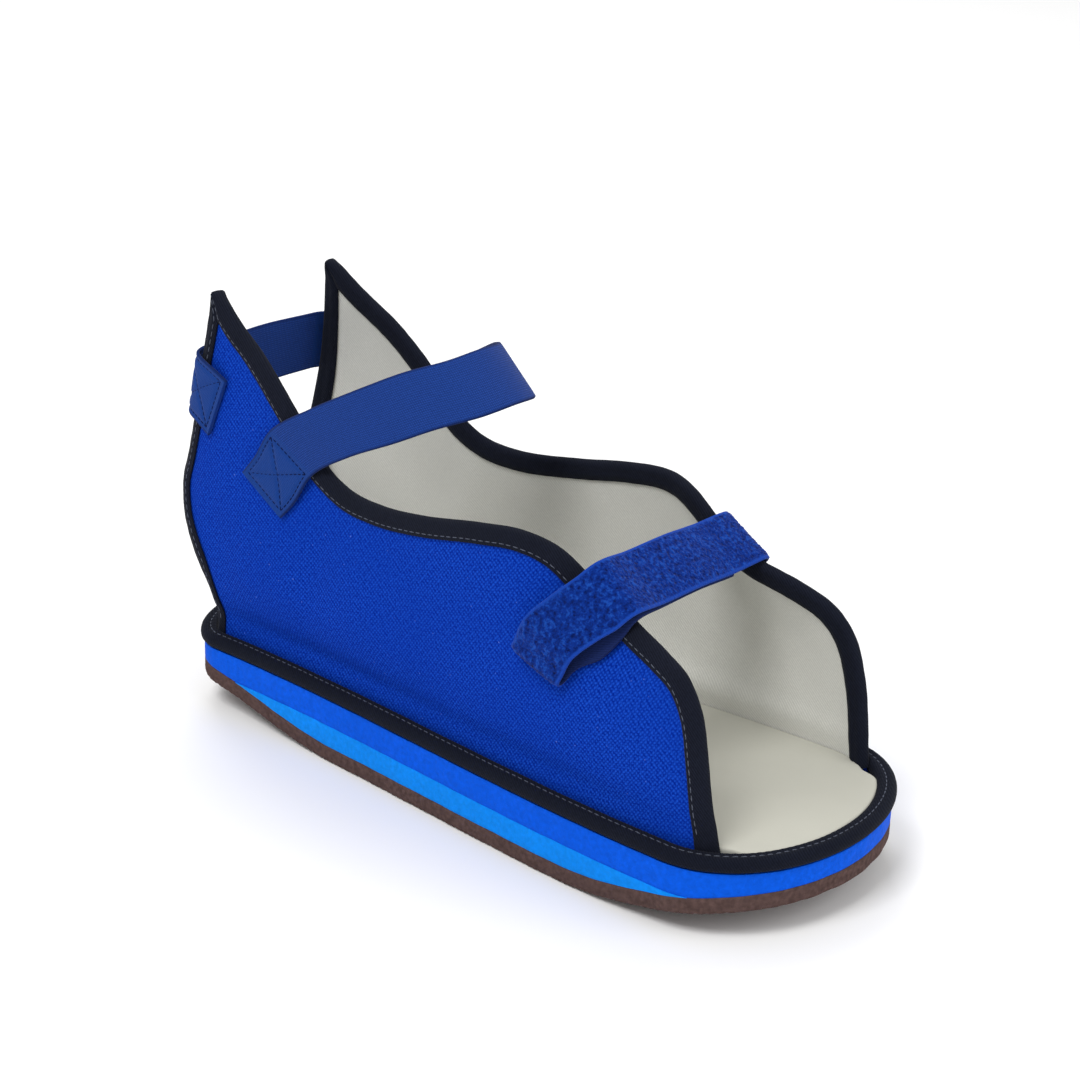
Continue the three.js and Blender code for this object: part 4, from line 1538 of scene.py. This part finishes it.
@dataclass(frozen=True)
class ForefootTape:
    """The loop tape over the forefoot, folded back under itself on the right panel."""

    width: float = 23.6 * MM
    thick: float = 2 * MM
    thin: float = 0.3
    thin_power: int = 10
    draw_in: float = 0.25 * MM
    fold_spread: float = 4.4 * MM
    fold_length: float = 44 * MM
    fold_steps: int = 40
    layer_spread: float = 0.5 * MM
    pinch: float = 2 * MM
    pinch_length: float = 12 * MM
    skew: float = 5.4 * MM
    skew_at: float = 16 * MM
    skew_reach: float = 18 * MM
    wave: float = 0.5 * MM
    wave_turns: float = 62
    wave_start: float = 0.6
    under_stop: float = 52 * MM
    selvedge: float = 1.5 * MM
    tuft: float = 0.8 * MM
    steps: int = 500
    columns: int = 640
    rows: int = 66

    def path(self) -> tuple[Array, Array, Array, Array]:
        """Works out the tape from its left end over the top, round the fold and back beneath.

        Returns:
            The low edge, the vector to the top edge, the pile's outward direction, and how much of
            the tape at each place is its upper layer, all at close even steps.
        """
        line = StrapLine(FOREFOOT_ROWS, self.width, FOREFOOT_LEFT_ROWS)
        share = np.linspace(0, 1, self.steps + 1)
        run = share * line.length
        top, low, normal = line.frames(share)
        across = top - low
        spread = smoothstep(run / self.fold_length)
        pinch = self.pinch * (1 - smoothstep(run / self.pinch_length))
        apart = self.thick + self.fold_spread - pinch + (self.layer_spread - self.fold_spread) * spread
        stop = line.length - self.under_stop
        lift = apart * (1 - smoothstep((run - stop) / (line.length - stop)))
        over_low = (low + normal * lift[:, None])[::-1]
        radius = apart[0] / 2
        near = 0.003
        along = unit(line.middle(np.array([near]))[0] - (top[0] + low[0]) / 2)
        turn = np.linspace(0, math.pi, self.fold_steps)[1:-1, None]
        fold_out = normal[0] * np.cos(turn) - along * np.sin(turn)
        fold_low = low[0] + normal[0] * radius + fold_out * radius
        under = run <= stop
        slide = self.skew * bump_shape(run - self.skew_at, self.skew_reach) * smoothstep(run / self.skew_at)
        low = low - unit(across) * slide[:, None]
        low_edge = np.vstack([over_low, fold_low, low[under]])
        fold_across = np.tile(across[0], (len(turn), 1))
        out = unit(np.vstack([normal[::-1], fold_out, -normal[under]]))
        upper = np.repeat([1, 0], [self.steps + 1 + len(turn), int(under.sum())])
        return low_edge, np.vstack([across[::-1], fold_across, across[under]]), out, upper

    def build(self, finishes: Finishes) -> None:
        """Makes the tape from a slab and raises its pile."""
        low, across, out, upper = self.path()
        reach = lengths(low + across / 2)
        flat = partial(strap_map, length=reach[-1], width=self.width)

        def place(bench: Array) -> Array:
            """Returns the tape's points along its path, thinner at its edges and a little wavy."""
            run, _ = flat(bench).T
            side = np.abs(bench[:, 1])
            level = bench[:, 2] - 1
            rim = (side > RIM) & (np.abs(level) > 0.5)
            v = to_share(bench[:, 1] * np.where(rim, 1 - 2 * self.draw_in / self.width, 1))
            half = self.thick / 2 * (1 - self.thin * side**self.thin_power)
            beat = np.sin(run * self.wave_turns + self.wave_start)
            wave = self.wave * beat * side**2 * np.interp(run, reach, upper)
            spot = read_at(run, reach, low) + read_at(run, reach, across) * v[:, None]
            return spot + unit(read_at(run, reach, out)) * (level * half + wave)[:, None]

        piece = Workpiece.slab("loop_tape", self.columns, self.rows, 2)
        run, side = flat(piece.bench).T
        edge = self.width / 2 - np.abs(side)
        outside = piece.bench[:, 2] > OUTER_FACE
        on_top = np.interp(run, reach, upper) > 0.5
        pile = smoothstep((edge - self.selvedge * 0.6) / (self.selvedge * 0.6)) * outside * on_top
        piece.paint("selvedge", 1 - smoothstep((edge - self.selvedge * 0.5) / (self.selvedge * 0.5)))
        group = piece.body.vertex_groups.new(name="pile")
        for i in np.nonzero(pile > 0)[0]:
            group.add([int(i)], float(pile[i]), "REPLACE")
        piece.map_flat(flat).bend(place).turn_out()
        piece.dress(finishes.pile, finishes.tape_back)
        piece.pick_faces(~(outside & on_top), 1)
        for name, size, depth in (("tufts", 0.8 * MM, self.tuft), ("loops", 0.4 * MM, self.tuft * 0.6)):
            texture = bpy.data.textures.new(name, "CLOUDS")
            texture.noise_scale = size
            texture.noise_depth = 1
            piece.apply("DISPLACE", texture=texture, strength=depth, mid_level=0.4, vertex_group="pile",
                        texture_coords="LOCAL")
        piece.smooth(75).hand_over("loop_tape", "forefoot_strap")


class Lamp(NamedTuple):
    """A soft square lamp: its place, its side in metres and its power in watts."""

    name: str
    place: tuple[float, float, float]
    side: float
    power: float


@dataclass(frozen=True)
class Stage:
    """A pale floor, soft studio light and the camera at the photograph's angle."""

    azimuth: float = math.radians(50.72)
    elevation: float = math.radians(22.12)
    roll: float = math.radians(2.04)
    distance: float = 1.0086
    focal_pixels: float = 2745.3
    frame_pixels: float = 1080
    sensor: float = 36
    far: float = 50
    target: Vector = Vector((3.79 * MM, 0, 97.69 * MM))
    aim: Vector = Vector((0, 0, 60 * MM))
    floor_size: float = 40
    floor_tone: float = 0.93
    daylight: float = 0.6
    lamps: tuple[Lamp, ...] = (
        Lamp("key", (0.1, -1.5, 2.2), 1, 36),
        Lamp("fill", (1.8, 0.4, 1.2), 1.6, 14),
        Lamp("back", (-1.2, 0.9, 1.8), 1.2, 16),
    )

    def camera(self) -> None:
        """Places the camera, with the roll that the photograph has."""
        a, e = self.azimuth, self.elevation
        back = Vector((math.cos(a) * math.cos(e), -math.sin(a) * math.cos(e), math.sin(e)))
        right = Vector((math.sin(a), math.cos(a), 0))
        up = back.cross(right)
        tilted_right = right * math.cos(self.roll) + up * math.sin(self.roll)
        tilted_up = up * math.cos(self.roll) - right * math.sin(self.roll)
        data = bpy.data.cameras.new("camera")
        data.sensor_width = self.sensor
        data.lens = self.focal_pixels / self.frame_pixels * data.sensor_width
        data.clip_end = self.far
        camera = bpy.data.objects.new("camera", data)
        turn = Matrix((tilted_right, tilted_up, back)).transposed()
        camera.matrix_world = Matrix.Translation(self.target + back * self.distance) @ turn.to_4x4()
        bpy.context.scene.collection.objects.link(camera)
        bpy.context.scene.camera = camera

    def light(self, lamp: Lamp) -> None:
        """Adds one lamp that faces the shoe."""
        data = bpy.data.lights.new(lamp.name, "AREA")
        data.size = lamp.side
        data.energy = lamp.power
        body = bpy.data.objects.new(lamp.name, data)
        body.location = lamp.place
        body.rotation_euler = (self.aim - body.location).to_track_quat("-Z", "Y").to_euler()
        bpy.context.scene.collection.objects.link(body)

    def build(self) -> None:
        """Makes floor, light and camera."""
        Workpiece.clear_bench()
        bpy.ops.mesh.primitive_plane_add(size=self.floor_size, location=(0, 0, 0))
        floor = bpy.context.object
        floor.name = "floor"
        shader = Shader("floor_paint", 0.9)
        shader.colour((self.floor_tone,) * 3)
        floor.data.materials.append(shader.material)
        world = bpy.data.worlds.new("studio")
        world.use_nodes = True
        sky = world.node_tree.nodes["Background"].inputs
        sky["Color"].default_value = (1, 1, 1, 1)
        sky["Strength"].default_value = self.daylight
        bpy.context.scene.world = world
        for lamp in self.lamps:
            self.light(lamp)
        bpy.context.scene.view_settings.view_transform = "Standard"
        self.camera()


def main() -> None:
    """Builds the stage and every piece of the shoe."""
    logging.basicConfig(level=logging.INFO, format="%(name)s: %(message)s")
    Stage().build()
    finishes = Finishes.build()
    RockerSole().build(finishes)
    SoleBand().build(finishes)
    InsoleBoard().build(finishes)
    Upper().build(finishes)
    EdgeBinding().build(finishes)
    WebbingStrap("ankle_webbing", "ankle_strap", ANKLE_ROWS).build(finishes)
    WebbingStrap("heel_webbing", "heel_strap", HEEL_ROWS).build(finishes)
    ForefootTape().build(finishes)
    Workpiece.clear_bench()


if __name__ == "__main__":
    main()
